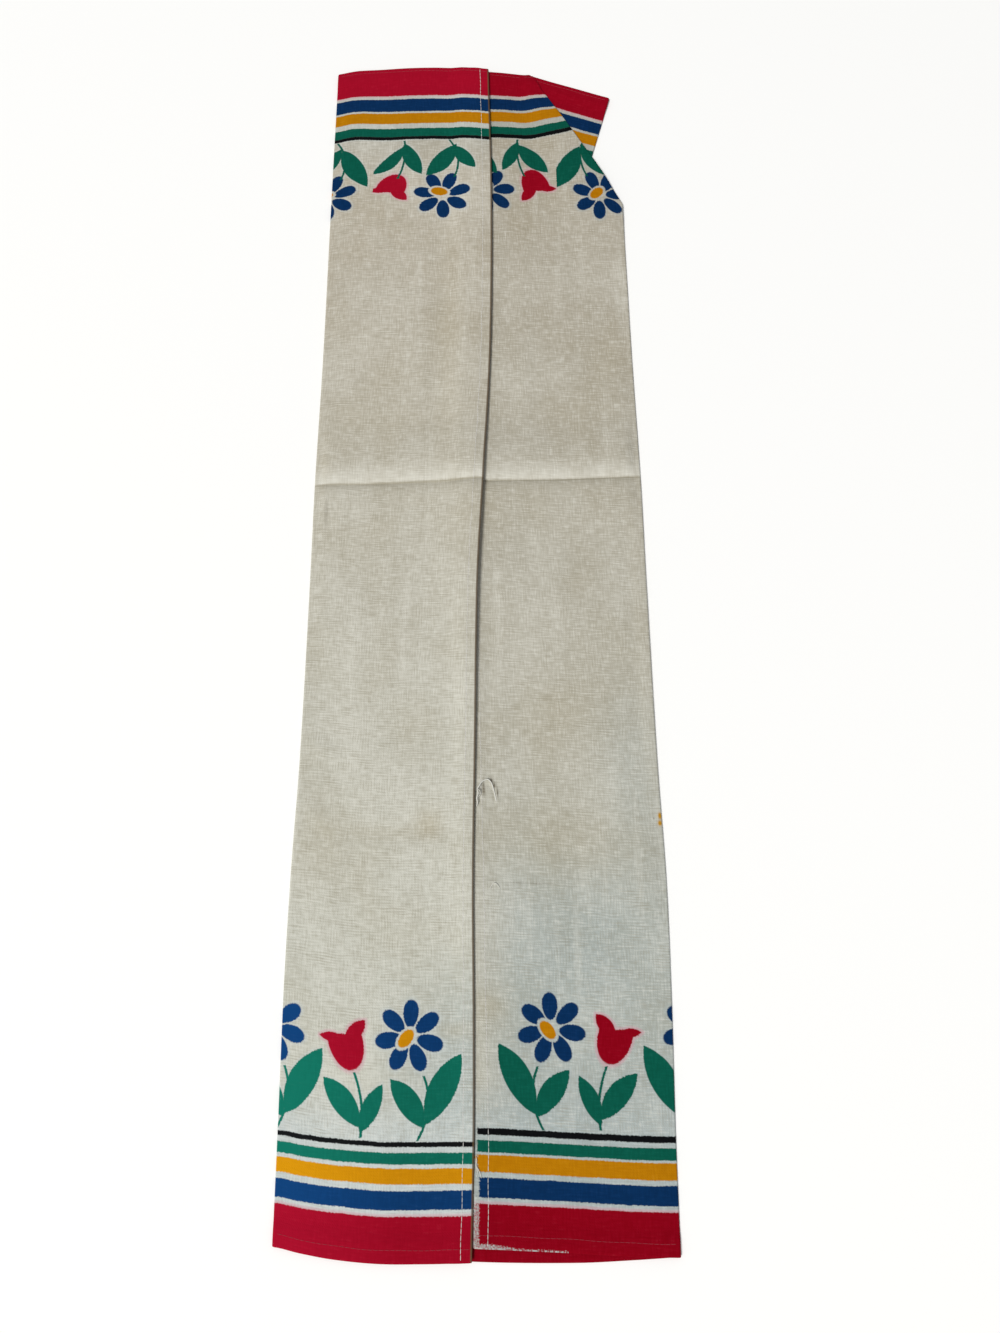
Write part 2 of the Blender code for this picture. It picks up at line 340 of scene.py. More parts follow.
@dataclass(frozen=True)
class Crease:
    """The pressed crease across both flaps: a sharp valley between two soft banks."""

    place: float = 0.0578
    slant: float = 0.030
    sharp_height: float = 0.0008
    sharp_run: float = 0.0014
    near_height: float = 0.0008
    near_bank: float = 0.011
    near_reach: float = 0.046
    far_height: float = 0.0020
    far_bank: float = 0.0165
    far_reach: float = 0.050
    fade_at_folds: float = 0.006

    def lift(self, x: Array, y: Array, inwards: Array) -> Array:
        """How far the flaps stand up beside the crease.

        Args:
            x: Places across the towel.
            y: Places along it.
            inwards: How far each place is from the nearer fold.

        Returns:
            The height at each place.
        """
        away = y - self.place - self.slant * x
        far = self._bank(away, self.far_bank, self.far_reach) * self.far_height
        near = self._bank(-away, self.near_bank, self.near_reach) * self.near_height
        sharp = 1 - np.exp(-np.abs(away) / self.sharp_run)
        sharp *= self.sharp_height * (1 - ease(np.abs(away) / self.near_reach))
        return (np.where(away > 0, far, near) + sharp) * ease(inwards / self.fade_at_folds)

    @staticmethod
    def _bank(away: Array, bank: float, reach: float) -> Array:
        """One bank, from 0 at the crease to 1 at its crest and back to 0 at its reach."""
        share = np.clip(away / bank, 0.0, 1.0)
        return (1 - (1 - share) ** 2) * (1 - ease((away - bank) / (reach - bank)))


@dataclass(frozen=True)
class Pleat:
    """The far right corner, folded under on two bends that run from a tip at the far hem."""

    tip_x: float = 0.0352
    tip_y: float = 0.3843
    heading: float = math.radians(-60.4)
    turn: float = math.radians(17.1)
    stack: float = 0.0014
    gap: float = 0.0001
    tip_share: float = 0.5
    tip_reach: float = 0.030
    stretch: float = 0.0030
    stretch_run: float = 0.024
    stretch_start: float = 0.052
    stretch_end: float = 0.085
    stretch_fade: float = 0.035
    corner_reach: float = 0.101
    corner_fade: float = 0.018
    wedge_reach: float = 0.124
    wedge_fade: float = 0.040
    shoulder: float = 0.003
    slope_angle: float = 0.25
    slope_run: float = 0.008
    search_steps: int = 10

    def radius(self, reach: Array) -> Array:
        """The radius of both bends, which is smaller where the cloth is pressed at the tip."""
        full = (self.stack + self.gap) / 2
        return full * (self.tip_share + (1 - self.tip_share) * ease(reach / self.tip_reach))

    def bend_turn(self, reach: Array) -> Array:
        """The angle that each bend turns through.

        Args:
            reach: The distance from the pleat's tip.

        Returns:
            The angle, at most half a turn.
        """
        asked = self.turn * reach / (2 * self.radius(reach))
        wanted = np.minimum(asked, math.pi)
        turn = np.maximum((6 * wanted) ** (1 / 3), 1e-6)
        for _ in range(self.search_steps):
            turn = turn - (turn - np.sin(turn) - wanted) / np.maximum(1 - np.cos(turn), 1e-9)
        return np.where(asked >= math.pi, math.pi, turn)

    def rise(self, reach: Array) -> Array:
        """How high the cloth beside the upper bend is carried.

        Args:
            reach: The distance from the pleat's tip.

        Returns:
            The height there.
        """
        full = 2 * self.radius(reach) * (1 - np.cos(self.bend_turn(reach)))
        past_corner = ease((reach - self.corner_reach) / self.corner_fade)
        past_wedge = ease((reach - self.wedge_reach) / self.wedge_fade)
        return full - 2 * self.radius(reach) * (past_corner + past_wedge)

    def pull(self, reach: Array, path: Array) -> Array:
        """How far the cloth beside the crease is drawn towards the far hem.

        Args:
            reach: The distance from the pleat's tip.
            path: The distance past the crease, within the cloth.

        Returns:
            How much y grows.
        """
        starts = ease(reach / self.stretch_start)
        ends = 1 - ease((reach - self.stretch_end) / self.stretch_fade)
        beside = 1 - np.clip(np.abs(path) / self.stretch_run, 0.0, 1.0)
        return self.stretch * starts * ends * beside ** 2

    def fold(self, x: Array, y: Array, z: Array) -> tuple[Array, Array, Array]:
        """Fold the corner under.

        Args:
            x: Places across the towel before this fold.
            y: Places along it.
            z: Their heights.

        Returns:
            Where the places go: x, y and z.
        """
        reach = np.maximum(np.hypot(x - self.tip_x, y - self.tip_y), 1e-6)
        angle = np.arctan2(y - self.tip_y, x - self.tip_x) - self.heading
        path = reach * ((angle + math.pi) % (2 * math.pi) - math.pi)
        take_up = self.turn * reach
        turn = self.bend_turn(reach)
        rise = self.rise(reach)
        radius = self.radius(reach)
        start = -radius * turn / 2

        flat_for = self.turn / 2 * reach + self.shoulder
        slope = self.slope_angle * reach + self.slope_run
        beside = z + rise * (1 - ease((-path - flat_for) / slope))

        straight = np.maximum(0.0, take_up / 2 - math.pi * radius)
        sideways, drop, lean = self._follow(path - start, turn, straight, radius)
        out = z - self.stack / 2
        heading = self.heading + (start + sideways + out * np.sin(lean)) / reach
        turned = path > start
        pull = self.pull(reach, path - start)
        return (
            np.where(turned, self.tip_x + reach * np.cos(heading), x),
            np.where(turned, self.tip_y + reach * np.sin(heading), y) + pull,
            np.where(turned, self.stack / 2 + rise - drop + out * np.cos(lean), beside),
        )

    @staticmethod
    def _follow(beyond: Array, turn: Array, straight: Array, radius: Array
                ) -> tuple[Array, Array, Array]:
        """Follow the cloth over both bends.

        Args:
            beyond: The length of cloth since the upper bend began.
            turn: The angle of each bend.
            straight: The length of cloth between the bends.
            radius: The radius of each bend.

        Returns:
            How far it has got sideways and down, and how it leans.
        """
        bend = radius * turn
        lean = np.clip(beyond, 0.0, bend) / radius
        run = np.clip(beyond - bend, 0.0, straight)
        sideways = radius * np.sin(lean) + run * np.cos(lean)
        drop = radius * (1 - np.cos(lean)) + run * np.sin(lean)
        left_over = beyond - bend - straight
        second = turn - np.clip(left_over, 0.0, bend) / radius
        past = left_over > 0
        sideways = sideways + np.where(
            past, radius * (np.sin(turn) - np.sin(second)) + np.maximum(left_over - bend, 0), 0)
        drop = drop + np.where(past, radius * (np.cos(second) - np.cos(turn)), 0)
        return sideways, drop, np.where(past, second, lean)


@dataclass(frozen=True)
class Pucker:
    """A little arch of cloth, drawn up where a thread has been pulled."""

    x: float = 0.0048
    y: float = -0.1490
    half_width: float = 0.0060
    height_along: float = 0.0125
    ridge: float = 0.0007
    ridge_width: float = 0.0007
    hollow: float = 0.0004
    hollow_inside: float = 2.2
    foot: float = 0.003

    def lift(self, x: Array, y: Array) -> Array:
        """The height of the arch's ridge.

        Args:
            x: Places across the towel.
            y: Places along it.

        Returns:
            The height at each place.
        """
        round_it = np.hypot((x - self.x) / self.half_width, (y - self.y) / self.height_along)
        away = (round_it - 1) * self.half_width
        above_foot = ease((y - self.y + self.foot) / self.foot)
        ridge = self.ridge * np.exp(-((away / self.ridge_width) ** 2))
        hollow = self.hollow * np.exp(-((away / self.ridge_width + self.hollow_inside) ** 2))
        return (ridge - hollow) * above_foot


# --- The folded form ---


class FoldedForm:
    """Gives each point of the flat cloth its place in the folded towel."""

    GAP = 0.0003
    HEM_SLOPE = 0.008
    FOLD_SLOPE = 0.011
    EDGE_SLOPE = 0.034
    CLIMB_BEFORE_EDGE = 0.0120
    CLIMB_RUN = 0.0115
    LAP_START = -0.362
    LAP_RUN = 0.025
    WAVE_BASE = 0.0003
    CALM_NEAR_PLEAT = 0.270
    CALM_RUN = 0.050
    CALM_FROM = 0.02
    CALM_ACROSS = 0.03

    def __init__(self, cut: Cut, crease: Crease, pleat: Pleat, pucker: Pucker) -> None:
        """Keep the sizes and open the tables.

        Args:
            cut: The flat cloth.
            crease: The crease across both flaps.
            pleat: The pleated corner.
            pucker: The arch at the pulled thread.
        """
        self.cut = cut
        self.crease = crease
        self.pleat = pleat
        self.pucker = pucker
        self.sections = SmoothTable(SECTIONS, "along")
        self.hems = SmoothTable(HEM_SPOTS, "across")
        self.puffs = SmoothTable(FOLD_PUFFS, "along")
        self.edge_lifts = SmoothTable(EDGE_LIFTS, "along")

    def end_hems(self, across: Array) -> tuple[Array, Array]:
        """The y of the near and the far hem's edge, at places across the flat cloth."""
        return self.hems.read("near_hem", across), self.hems.read("far_hem", across)

    def lengthways(self, across: Array, along: Array) -> Array:
        """The y of places on the cloth, measured between its two end hems."""
        near, far = self.end_hems(across)
        return near + (far - near) * (along / self.cut.length + 0.5)

    def hem_raise(self, inward: Array) -> Array:
        """How far a turned hem raises the cloth at a distance from its edge."""
        return self.cut.hem_extra * (1 - ease((inward - self.cut.hem_width) / self.HEM_SLOPE))

    def end_raise(self, across: Array, y: Array) -> Array:
        """How far the two end hems of one layer raise the cloth there."""
        near, far = self.end_hems(across)
        return self.hem_raise(y - near) + self.hem_raise(far - y)

    def back_across(self, x: Array, y: Array) -> Array:
        """Find what lies under the flaps.

        Args:
            x: Places across the towel.
            y: Places along it.

        Returns:
            The places across the flat cloth's back that lie there.
        """
        left, right = self.sections.read("left_fold", y), self.sections.read("right_fold", y)
        share = np.clip((x - left) / (right - left), 0.0, 1.0)
        return self.cut.left_fold + share * (self.cut.right_fold - self.cut.left_fold)

    def waves(self, x: Array, y: Array) -> Array:
        """The soft waves, ridges and troughs of both flaps.

        Args:
            x: Places across the towel.
            y: Places along it.

        Returns:
            The height at each place, never below 0.
        """
        height = np.zeros_like(x)
        for ripple in RIPPLES:
            heading = math.radians(ripple.heading)
            run = (x * math.cos(heading) + y * math.sin(heading)) / ripple.wavelength
            height += ripple.height * (1 + np.sin(2 * math.pi * run + ripple.phase))
        for ridge in RIDGES:
            heading = math.radians(ridge.heading)
            dx, dy = x - ridge.x, y - ridge.y
            lengthwise = (dx * math.cos(heading) + dy * math.sin(heading)) / ridge.half_length
            sideways = (dy * math.cos(heading) - dx * math.sin(heading)) / ridge.half_width
            height += ridge.height * np.exp(-(lengthwise ** 4) - sideways ** 2)
        calm = ease((y - self.CALM_NEAR_PLEAT) / self.CALM_RUN)
        calm *= ease((x - self.CALM_FROM) / self.CALM_ACROSS)
        return np.maximum(height + self.WAVE_BASE, 0.0) * (1 - calm)

    def flap_opening(self, x: Array, y: Array, right: bool) -> Array:
        """How far a flap lies above the back, between the two cloths' surfaces.

        Args:
            x: Places across the towel.
            y: Places along it.
            right: Whether it is the right flap.

        Returns:
            The opening at each place.
        """
        side = "right" if right else "left"
        fold, edge = self.sections.read(side + "_fold", y), self.sections.read(side + "_edge", y)
        if right:
            inwards, from_edge = fold - x, x - edge
            across = self.cut.width - from_edge
        else:
            inwards, from_edge = x - fold, edge - x
            across = from_edge
        raised = self.end_raise(self.back_across(x, y), y) + self.end_raise(across, y)
        flat = (self.GAP + raised + self.hem_raise(from_edge) + self.waves(x, y)
                + self.crease.lift(x, y, inwards))
        at_fold = self.GAP + raised + self.puffs.read(side, y)
        flat = np.where(right, flat + self.pucker.lift(x, y), flat)
        return at_fold + (flat - at_fold) * ease(inwards / self.FOLD_SLOPE)

    def lapped_opening(self, x: Array, y: Array) -> Array:
        """The left flap's opening, where it also passes over the right flap's edge.

        Args:
            x: Places across the towel.
            y: Places along it.

        Returns:
            The opening at each place.
        """
        own = self.flap_opening(x, y, right=False)
        right_edge = self.sections.read("right_edge", y)
        under = self.flap_opening(np.maximum(x, right_edge), y, right=True)
        left_edge = self.sections.read("left_edge", y)
        over = under + self.cut.thickness + self.GAP + self.hem_raise(left_edge - x)
        climb = ease((x - right_edge + self.CLIMB_BEFORE_EDGE) / self.CLIMB_RUN)
        climb *= ease((y - self.LAP_START) / self.LAP_RUN)
        lift = self.edge_lifts.read("lift", y) * (1 - ease((left_edge - x) / self.EDGE_SLOPE))
        return own + np.maximum(over - own, 0.0) * climb + lift

    def place(self, across: Array, along: Array, depth: Array) -> Array:
        """Fold the cloth.

        Args:
            across: Places across the flat cloth.
            along: Places along it.
            depth: How far below the print side each point lies.

        Returns:
            A row of x, y and z for each point.
        """
        cut = self.cut
        section = {name: self.sections.read(name, along) for name in Section._fields[1:]}
        y = self.lengthways(across, along)
        thin = cut.thickness
        at_left = self.flap_opening(section["left_fold"], y, right=False)
        at_right = self.flap_opening(section["right_fold"], y, right=True)
        left_radius, right_radius = (thin + at_left) / 2, (thin + at_right) / 2
        left_centre = section["left_fold"] + left_radius + thin / 2
        right_centre = section["right_fold"] - right_radius - thin / 2
        left_half, right_half = math.pi / 2 * left_radius, math.pi / 2 * right_radius

        left_share = across / (cut.left_fold - left_half)
        left_x = section["left_edge"] + (left_centre - section["left_edge"]) * left_share
        left_z = 2 * thin + self.lapped_opening(left_x, y) - depth

        out, up = self._bend((across - cut.left_fold) / left_radius, left_radius, depth)
        left_bend_x, left_bend_z = left_centre - out, thin / 2 + left_radius + up

        span = cut.right_fold - right_half - cut.left_fold - left_half
        back_share = (across - cut.left_fold - left_half) / span
        back_x = left_centre + (right_centre - left_centre) * back_share

        out, up = self._bend((across - cut.right_fold) / right_radius, right_radius, depth)
        right_bend_x, right_bend_z = right_centre + out, thin / 2 + right_radius - up

        right_share = (across - cut.right_fold - right_half) / (
            cut.width - cut.right_fold - right_half)
        right_x = right_centre + (section["right_edge"] - right_centre) * right_share
        right_z = 2 * thin + self.flap_opening(right_x, y, right=True) - depth

        zones = [across < cut.left_fold - left_half, across <= cut.left_fold + left_half,
                 across < cut.right_fold - right_half, across <= cut.right_fold + right_half]
        x = np.select(zones, [left_x, left_bend_x, back_x, right_bend_x], right_x)
        z = np.select(zones, [left_z, left_bend_z, depth + 0 * x, right_bend_z], right_z)
        return np.column_stack(self.pleat.fold(x, y, z))

    def _bend(self, past_middle: Array, radius: Array, depth: Array) -> tuple[Array, Array]:
        """Follow the cloth round one of the two folds.

        Args:
            past_middle: The angle turned through since the fold's middle.
            radius: The fold's radius, at the middle of the cloth's thickness.
            depth: How far below the print side each point lies.

        Returns:
            How far out from the fold's centre the points lie, and how far towards its start.
        """
        reach = radius + self.cut.thickness / 2 - depth
        turn = past_middle + math.pi / 2
        return reach * np.sin(turn), reach * np.cos(turn)


# --- Formulas as shader nodes ---


Value = Union["Formula", float]


class Formula:
    """A number that shader nodes work out; arithmetic on it adds nodes to its tree."""

    def __init__(self, tree: bpy.types.NodeTree, socket: bpy.types.NodeSocket) -> None:
        """Keep the tree and the socket that gives the number."""
        self.tree = tree
        self.socket = socket

    def step(self, operation: str, *others: Value, clamp: bool = False) -> "Formula":
        """Add one Math node.

        Args:
            operation: Its operation.
            others: Its values after this one.
            clamp: Whether it keeps its result between 0 and 1.

        Returns:
            The node's result.
        """
        node = self.tree.nodes.new("ShaderNodeMath")
        node.operation = operation
        node.use_clamp = clamp
        for socket, value in zip(node.inputs, (self, *others)):
            attach(self.tree, socket, value)
        return Formula(self.tree, node.outputs[0])

    def __add__(self, other: Value) -> "Formula":
        """Add."""
        return self.step("ADD", other)

    __radd__ = __add__

    def __sub__(self, other: Value) -> "Formula":
        """Subtract."""
        return self.step("SUBTRACT", other)

    def __rsub__(self, other: Value) -> "Formula":
        """Subtract this from another."""
        return self.step("MULTIPLY_ADD", -1.0, other)

    def __mul__(self, other: Value) -> "Formula":
        """Multiply."""
        return self.step("MULTIPLY", other)

    __rmul__ = __mul__

    def __truediv__(self, other: Value) -> "Formula":
        """Divide."""
        return self.step("DIVIDE", other)

    def __abs__(self) -> "Formula":
        """Drop the sign."""
        return self.step("ABSOLUTE")

    def above(self, limit: float) -> "Formula":
        """1 where this is over a limit, and 0 elsewhere."""
        return self.step("GREATER_THAN", limit)

    def least(self, other: Value) -> "Formula":
        """The smaller of two."""
        return self.step("MINIMUM", other)

    def most(self, other: Value) -> "Formula":
        """The larger of two."""
        return self.step("MAXIMUM", other)

    def far_from(self, other: "Formula") -> "Formula":
        """The length of the vector that has these two as its sides."""
        return (self * self + other * other).step("SQRT")

    def ramp(self, low: float, high: float) -> "Formula":
        """Go from 0 at low to 1 at high, and stay there."""
        scale = 1.0 / (high - low)
        return self.step("MULTIPLY_ADD", scale, -low * scale, clamp=True)


def attach(tree: bpy.types.NodeTree, socket: bpy.types.NodeSocket, value: object) -> None:
    """Give a socket what it reads.

    Args:
        tree: The node tree.
        socket: The socket.
        value: A formula or another socket, which are linked to it, or a plain value.
    """
    if isinstance(value, Formula):
        tree.links.new(value.socket, socket)
    elif isinstance(value, bpy.types.NodeSocket):
        tree.links.new(value, socket)
    else:
        socket.default_value = value


class Pattern(NamedTuple):
    """An uneven pattern in the cloth: its size in millimetres, how many finer patterns it holds,
    and a number that picks it from others of its kind."""

    across: float
    along: float
    detail: float
    seed: float


WEFT = Pattern(7.0, 0.95, 3.0, 0.0)
WARP = Pattern(0.95, 7.0, 3.0, 5.0)
SLUBS = Pattern(18.0, 1.5, 1.0, 9.0)
STRAYING_WEAVE = Pattern(2.5, 2.5, 1.0, 11.0)
STRAYING_LINES = Pattern(14.0, 14.0, 1.0, 27.0)
OPEN_WEAVE = Pattern(15.0, 9.0, 1.0, 23.0)
BLOTCHES = Pattern(46.0, 62.0, 3.0, 2.0)
SMALL_BLOTCHES = Pattern(9.0, 12.0, 2.0, 4.0)
PRESSED_STREAKS = Pattern(8.0, 130.0, 2.0, 6.0)
# Patches of the painted highlight on the crease's far bank.
BANK_HIGHLIGHT_PATCHES = Pattern(7.0, 30.0, 2.0, 31.0)
RAGGED_STRIP = Pattern(0.8, 0.8, 1.0, 17.0)
ROUGH_INK = Pattern(0.9, 0.9, 1.0, 3.1)
DRIFTING_INK = Pattern(9.0, 9.0, 1.0, 7.7)


class SoftSpot(NamedTuple):
    """A soft spot in the linen, as wide as its two radii, in millimetres; some are stains and marks,
    some painted shade.
    """

    across: float
    along: float
    radius_across: float
    radius_along: float
    strength: float


class ClothTree:
    """A material's node tree, read by places on the flat cloth, in millimetres."""

    MAP = "cloth"

    def __init__(self, name: str) -> None:
        """Start a material with one Principled shader.

        Args:
            name: The material's name.
        """
        self.material, self.shader = new_material(name)
        self.tree = self.material.node_tree
        source = self.node("ShaderNodeUVMap")
        source.uv_map = self.MAP
        split = self.node("ShaderNodeSeparateXYZ")
        self.tree.links.new(source.outputs["UV"], split.inputs[0])
        self.across = Formula(self.tree, split.outputs[0]) * (1 / MILLIMETRE)
        self.along = Formula(self.tree, split.outputs[1]) * (1 / MILLIMETRE)

    def node(self, kind: str) -> bpy.types.ShaderNode:
        """Add a node of a kind."""
        return self.tree.nodes.new(kind)

    def noise(self, pattern: Pattern) -> Formula:
        """Add an uneven pattern.

        Args:
            pattern: Its sizes.

        Returns:
            Numbers about 0.5.
        """
        join = self.node("ShaderNodeCombineXYZ")
        attach(self.tree, join.inputs[0], self.across * (1 / pattern.across))
        attach(self.tree, join.inputs[1], self.along * (1 / pattern.along))
        join.inputs[2].default_value = pattern.seed
        noise = self.node("ShaderNodeTexNoise")
        noise.inputs["Scale"].default_value = 1.0
        noise.inputs["Detail"].default_value = pattern.detail
        self.tree.links.new(join.outputs[0], noise.inputs["Vector"])
        return Formula(self.tree, noise.outputs["Fac"])

    def spots(self, soft_spots: Sequence[SoftSpot]) -> Formula:
        """How strongly some soft spots show together at each place, at most 1."""
        spots = [self._spot(soft_spot) for soft_spot in soft_spots]
        return sum(spots[1:], spots[0]).least(1.0)

    def _spot(self, soft_spot: SoftSpot) -> Formula:
        """Draw one soft spot.

        Args:
            soft_spot: Its place and size.

        Returns:
            How strongly it shows.
        """
        side = (self.across - soft_spot.across) * (1 / soft_spot.radius_across)
        end = (self.along - soft_spot.along) * (1 / soft_spot.radius_along)
        return ((side * side + end * end) * -1.0).step("EXPONENT") * soft_spot.strength

    def mix(self, share: Value, base: object, top: object, blend: str = "MIX"
            ) -> bpy.types.NodeSocket:
        """Mix two colours.

        Args:
            share: How much of the second one.
            base: The first colour, or a socket.
            top: The second one.
            blend: The way of mixing.

        Returns:
            The socket that gives the mixed colour.
        """
        node = self.node("ShaderNodeMix")
        node.data_type = "RGBA"
        node.blend_type = blend
        attach(self.tree, node.inputs["Factor"], share)
        attach(self.tree, node.inputs["A"], base)
        attach(self.tree, node.inputs["B"], top)
        return node.outputs["Result"]

    def bump(self, height: Formula, distance: float) -> None:
        """Raise the surface, in its look only.

        Args:
            height: How much of the distance each place is raised.
            distance: The distance, in metres.
        """
        node = self.node("ShaderNodeBump")
        node.inputs["Distance"].default_value = distance
        attach(self.tree, node.inputs["Height"], height)
        self.tree.links.new(node.outputs["Normal"], self.shader.inputs["Normal"])


# --- The print, in millimetres ---


class Quarter(Enum):
    """The four parts of the print: near or far border, left or right half."""

    NEAR_LEFT = 0
    NEAR_RIGHT = 1
    FAR_LEFT = 2
    FAR_RIGHT = 3


class Ink(Enum):
    """The print's colours, each where it lies thick and where it lies thin; the thick one also
    serves as painted shade on the right flap.
    """

    RED = ((0.224, 0.0004, 0.0065, 1.0), (0.385, 0.0045, 0.0240, 1.0))
    BLUE = ((0.0018, 0.0185, 0.0670, 1.0), (0.0055, 0.0520, 0.1860, 1.0))
    YELLOW = ((0.390, 0.146, 0.0012, 1.0), (0.665, 0.290, 0.0040, 1.0))
    GREEN = ((0.0018, 0.0690, 0.0440, 1.0), (0.0065, 0.1720, 0.1190, 1.0))
    BLACK = ((0.0030, 0.0030, 0.0040, 1.0), (0.0080, 0.0090, 0.0100, 1.0))


# How thin the inks lie in each quarter, and the red: partly the ink's own thinness, partly painted
# shade that draws the right flap's inks darker.
INK_THINNESS_AND_SHADE: PerQuarter = (0.45, 0.13, 0.12, 0.02)
RED_THINNESS_AND_SHADE: PerQuarter = (0.40, 0.02, 0.60, 0.16)


class Stripe(NamedTuple):
    """One stripe of the borders: how far from the end hem's edge it starts and stops."""

    ink: Ink
    near_left: tuple[float, float]
    near_right: tuple[float, float]
    far_left: tuple[float, float]
    far_right: tuple[float, float]


STRIPES = (
    Stripe(Ink.RED, (-9.0, 21.7), (-9.0, 21.0), (-9.0, 23.4), (-9.0, 20.2)),
    Stripe(Ink.BLUE, (24.8, 34.0), (24.0, 33.8), (26.4, 37.6), (23.2, 33.0)),
    Stripe(Ink.YELLOW, (37.2, 44.8), (36.5, 45.1), (39.2, 48.6), (35.0, 43.8)),
    Stripe(Ink.GREEN, (46.8, 52.5), (46.3, 52.4), (53.0, 60.4), (48.4, 55.2)),
    Stripe(Ink.BLACK, (55.3, 57.8), (55.1, 58.5), (60.2, 63.0), (55.0, 58.4)),
)


class Layout(NamedTuple):
    """How a quarter's flowers stand: the first daisy, from the free edge, and the next.

    The tilt is how much further up each flower stands than the one before it, for its distance
    out.  The shifts are how far the sprigs' feet stand in towards the free edge.
    """

    quarter: Quarter
    first_daisy: float
    spacing: float
    tilt: float
    daisy_shift: float
    tulip_shift: float
    sprig_scale: float


LAYOUTS = (
    Layout(Quarter.NEAR_LEFT, 35.5, 77.0, 0.006, 0.0, 0.0, 1.0),
    Layout(Quarter.NEAR_RIGHT, 43.4, 80.6, 0.030, 0.8, 0.0, 1.0),
    Layout(Quarter.FAR_LEFT, 32.7, 76.5, 0.0, 0.0, 0.0, 1.10),
    Layout(Quarter.FAR_RIGHT, 15.8, 79.1, 0.010, 3.2, 3.8, 1.0),
)


class Leaf(NamedTuple):
    """A pointed leaf, from its foot to its tip; out goes away from the towel's free edge."""

    foot_out: float
    foot_up: float
    tip_out: float
    tip_up: float
    half_width: float
    bend: float


class Stem(NamedTuple):
    """A thin stem: its foot and top, how far it bows, and half its width."""

    foot_out: float
    foot_up: float
    top_out: float
    top_up: float
    bow: float
    half_width: float


class Sprig(NamedTuple):
    """Two leaves and a stem, as they grow from the black stripe."""

    large: Leaf
    small: Leaf
    stem: Stem


DAISY_STEM = Stem(-4.8, 0.4, -8.1, 33.0, -4.2, 0.75)
TULIP_STEM = Stem(26.0, 1.0, 30.2, 33.6, -2.4, 0.75)
DAISY_SPRIG = Sprig(Leaf(-9.2, 8.3, -28.8, 44.6, 7.4, -0.8),
                    Leaf(-8.6, 6.8, 10.2, 31.2, 6.2, 1.0), DAISY_STEM)
FAR_DAISY_SPRIG = Sprig(Leaf(-9.8, 4.6, 11.0, 31.0, 6.2, 1.2),
                        Leaf(-8.2, 6.2, -22.4, 25.2, 5.0, -0.8), DAISY_STEM)
TULIP_SPRIG = Sprig(Leaf(26.0, 6.0, 47.2, 30.2, 6.2, 0.8),
                    Leaf(26.4, 3.2, 14.6, 28.6, 4.8, -0.5), TULIP_STEM)
FAR_TULIP_SPRIG = Sprig(Leaf(25.6, 5.6, 47.6, 29.8, 4.6, 2.2),
                        Leaf(26.0, 3.4, 14.0, 30.0, 5.4, -1.0), TULIP_STEM)


@dataclass(frozen=True)
class Daisy:
    """A seven-petalled daisy, with a tilted oval heart that the petals leave room for."""

    heights: PerQuarter = (53.4, 53.0, 47.5, 46.8)
    heart_drops: PerQuarter = (1.2, 1.0, 3.0, 1.8)
    heart_tilts: PerQuarter = (130.0, 130.0, 170.0, 137.0)
    petals: int = 7
    first_petal: float = math.radians(350.0)
    ring: float = 11.8
    petal_half_length: float = 7.5
    petal_half_width: float = 4.3
    petal_fullness: float = 0.14
    heart_shift: float = 2.0
    heart_half_length: float = 5.6
    heart_half_width: float = 3.3
    rim: float = 1.1


@dataclass(frozen=True)
class Tulip:
    """A bell-shaped tulip that leans outwards, with a notch between its two petal tips."""

    outs: PerQuarter = (32.5, 32.5, 31.5, 31.5)
    heights: PerQuarter = (34.6, 34.6, 29.8, 27.6)
    shrinks: PerQuarter = (1.0, 1.0, 1.21, 0.98)
    slims: PerQuarter = (1.0, 1.0, 0.98, 1.02)
    half_width: float = 10.0
    half_height: float = 15.0
    lean: float = 0.2
    notch: float = 18.5
    inner_tip: Leaf = Leaf(3.0, 14.0, -7.5, 26.5, 4.0, 0.0)
    outer_tip: Leaf = Leaf(4.0, 16.0, 17.5, 17.0, 2.6, 0.0)


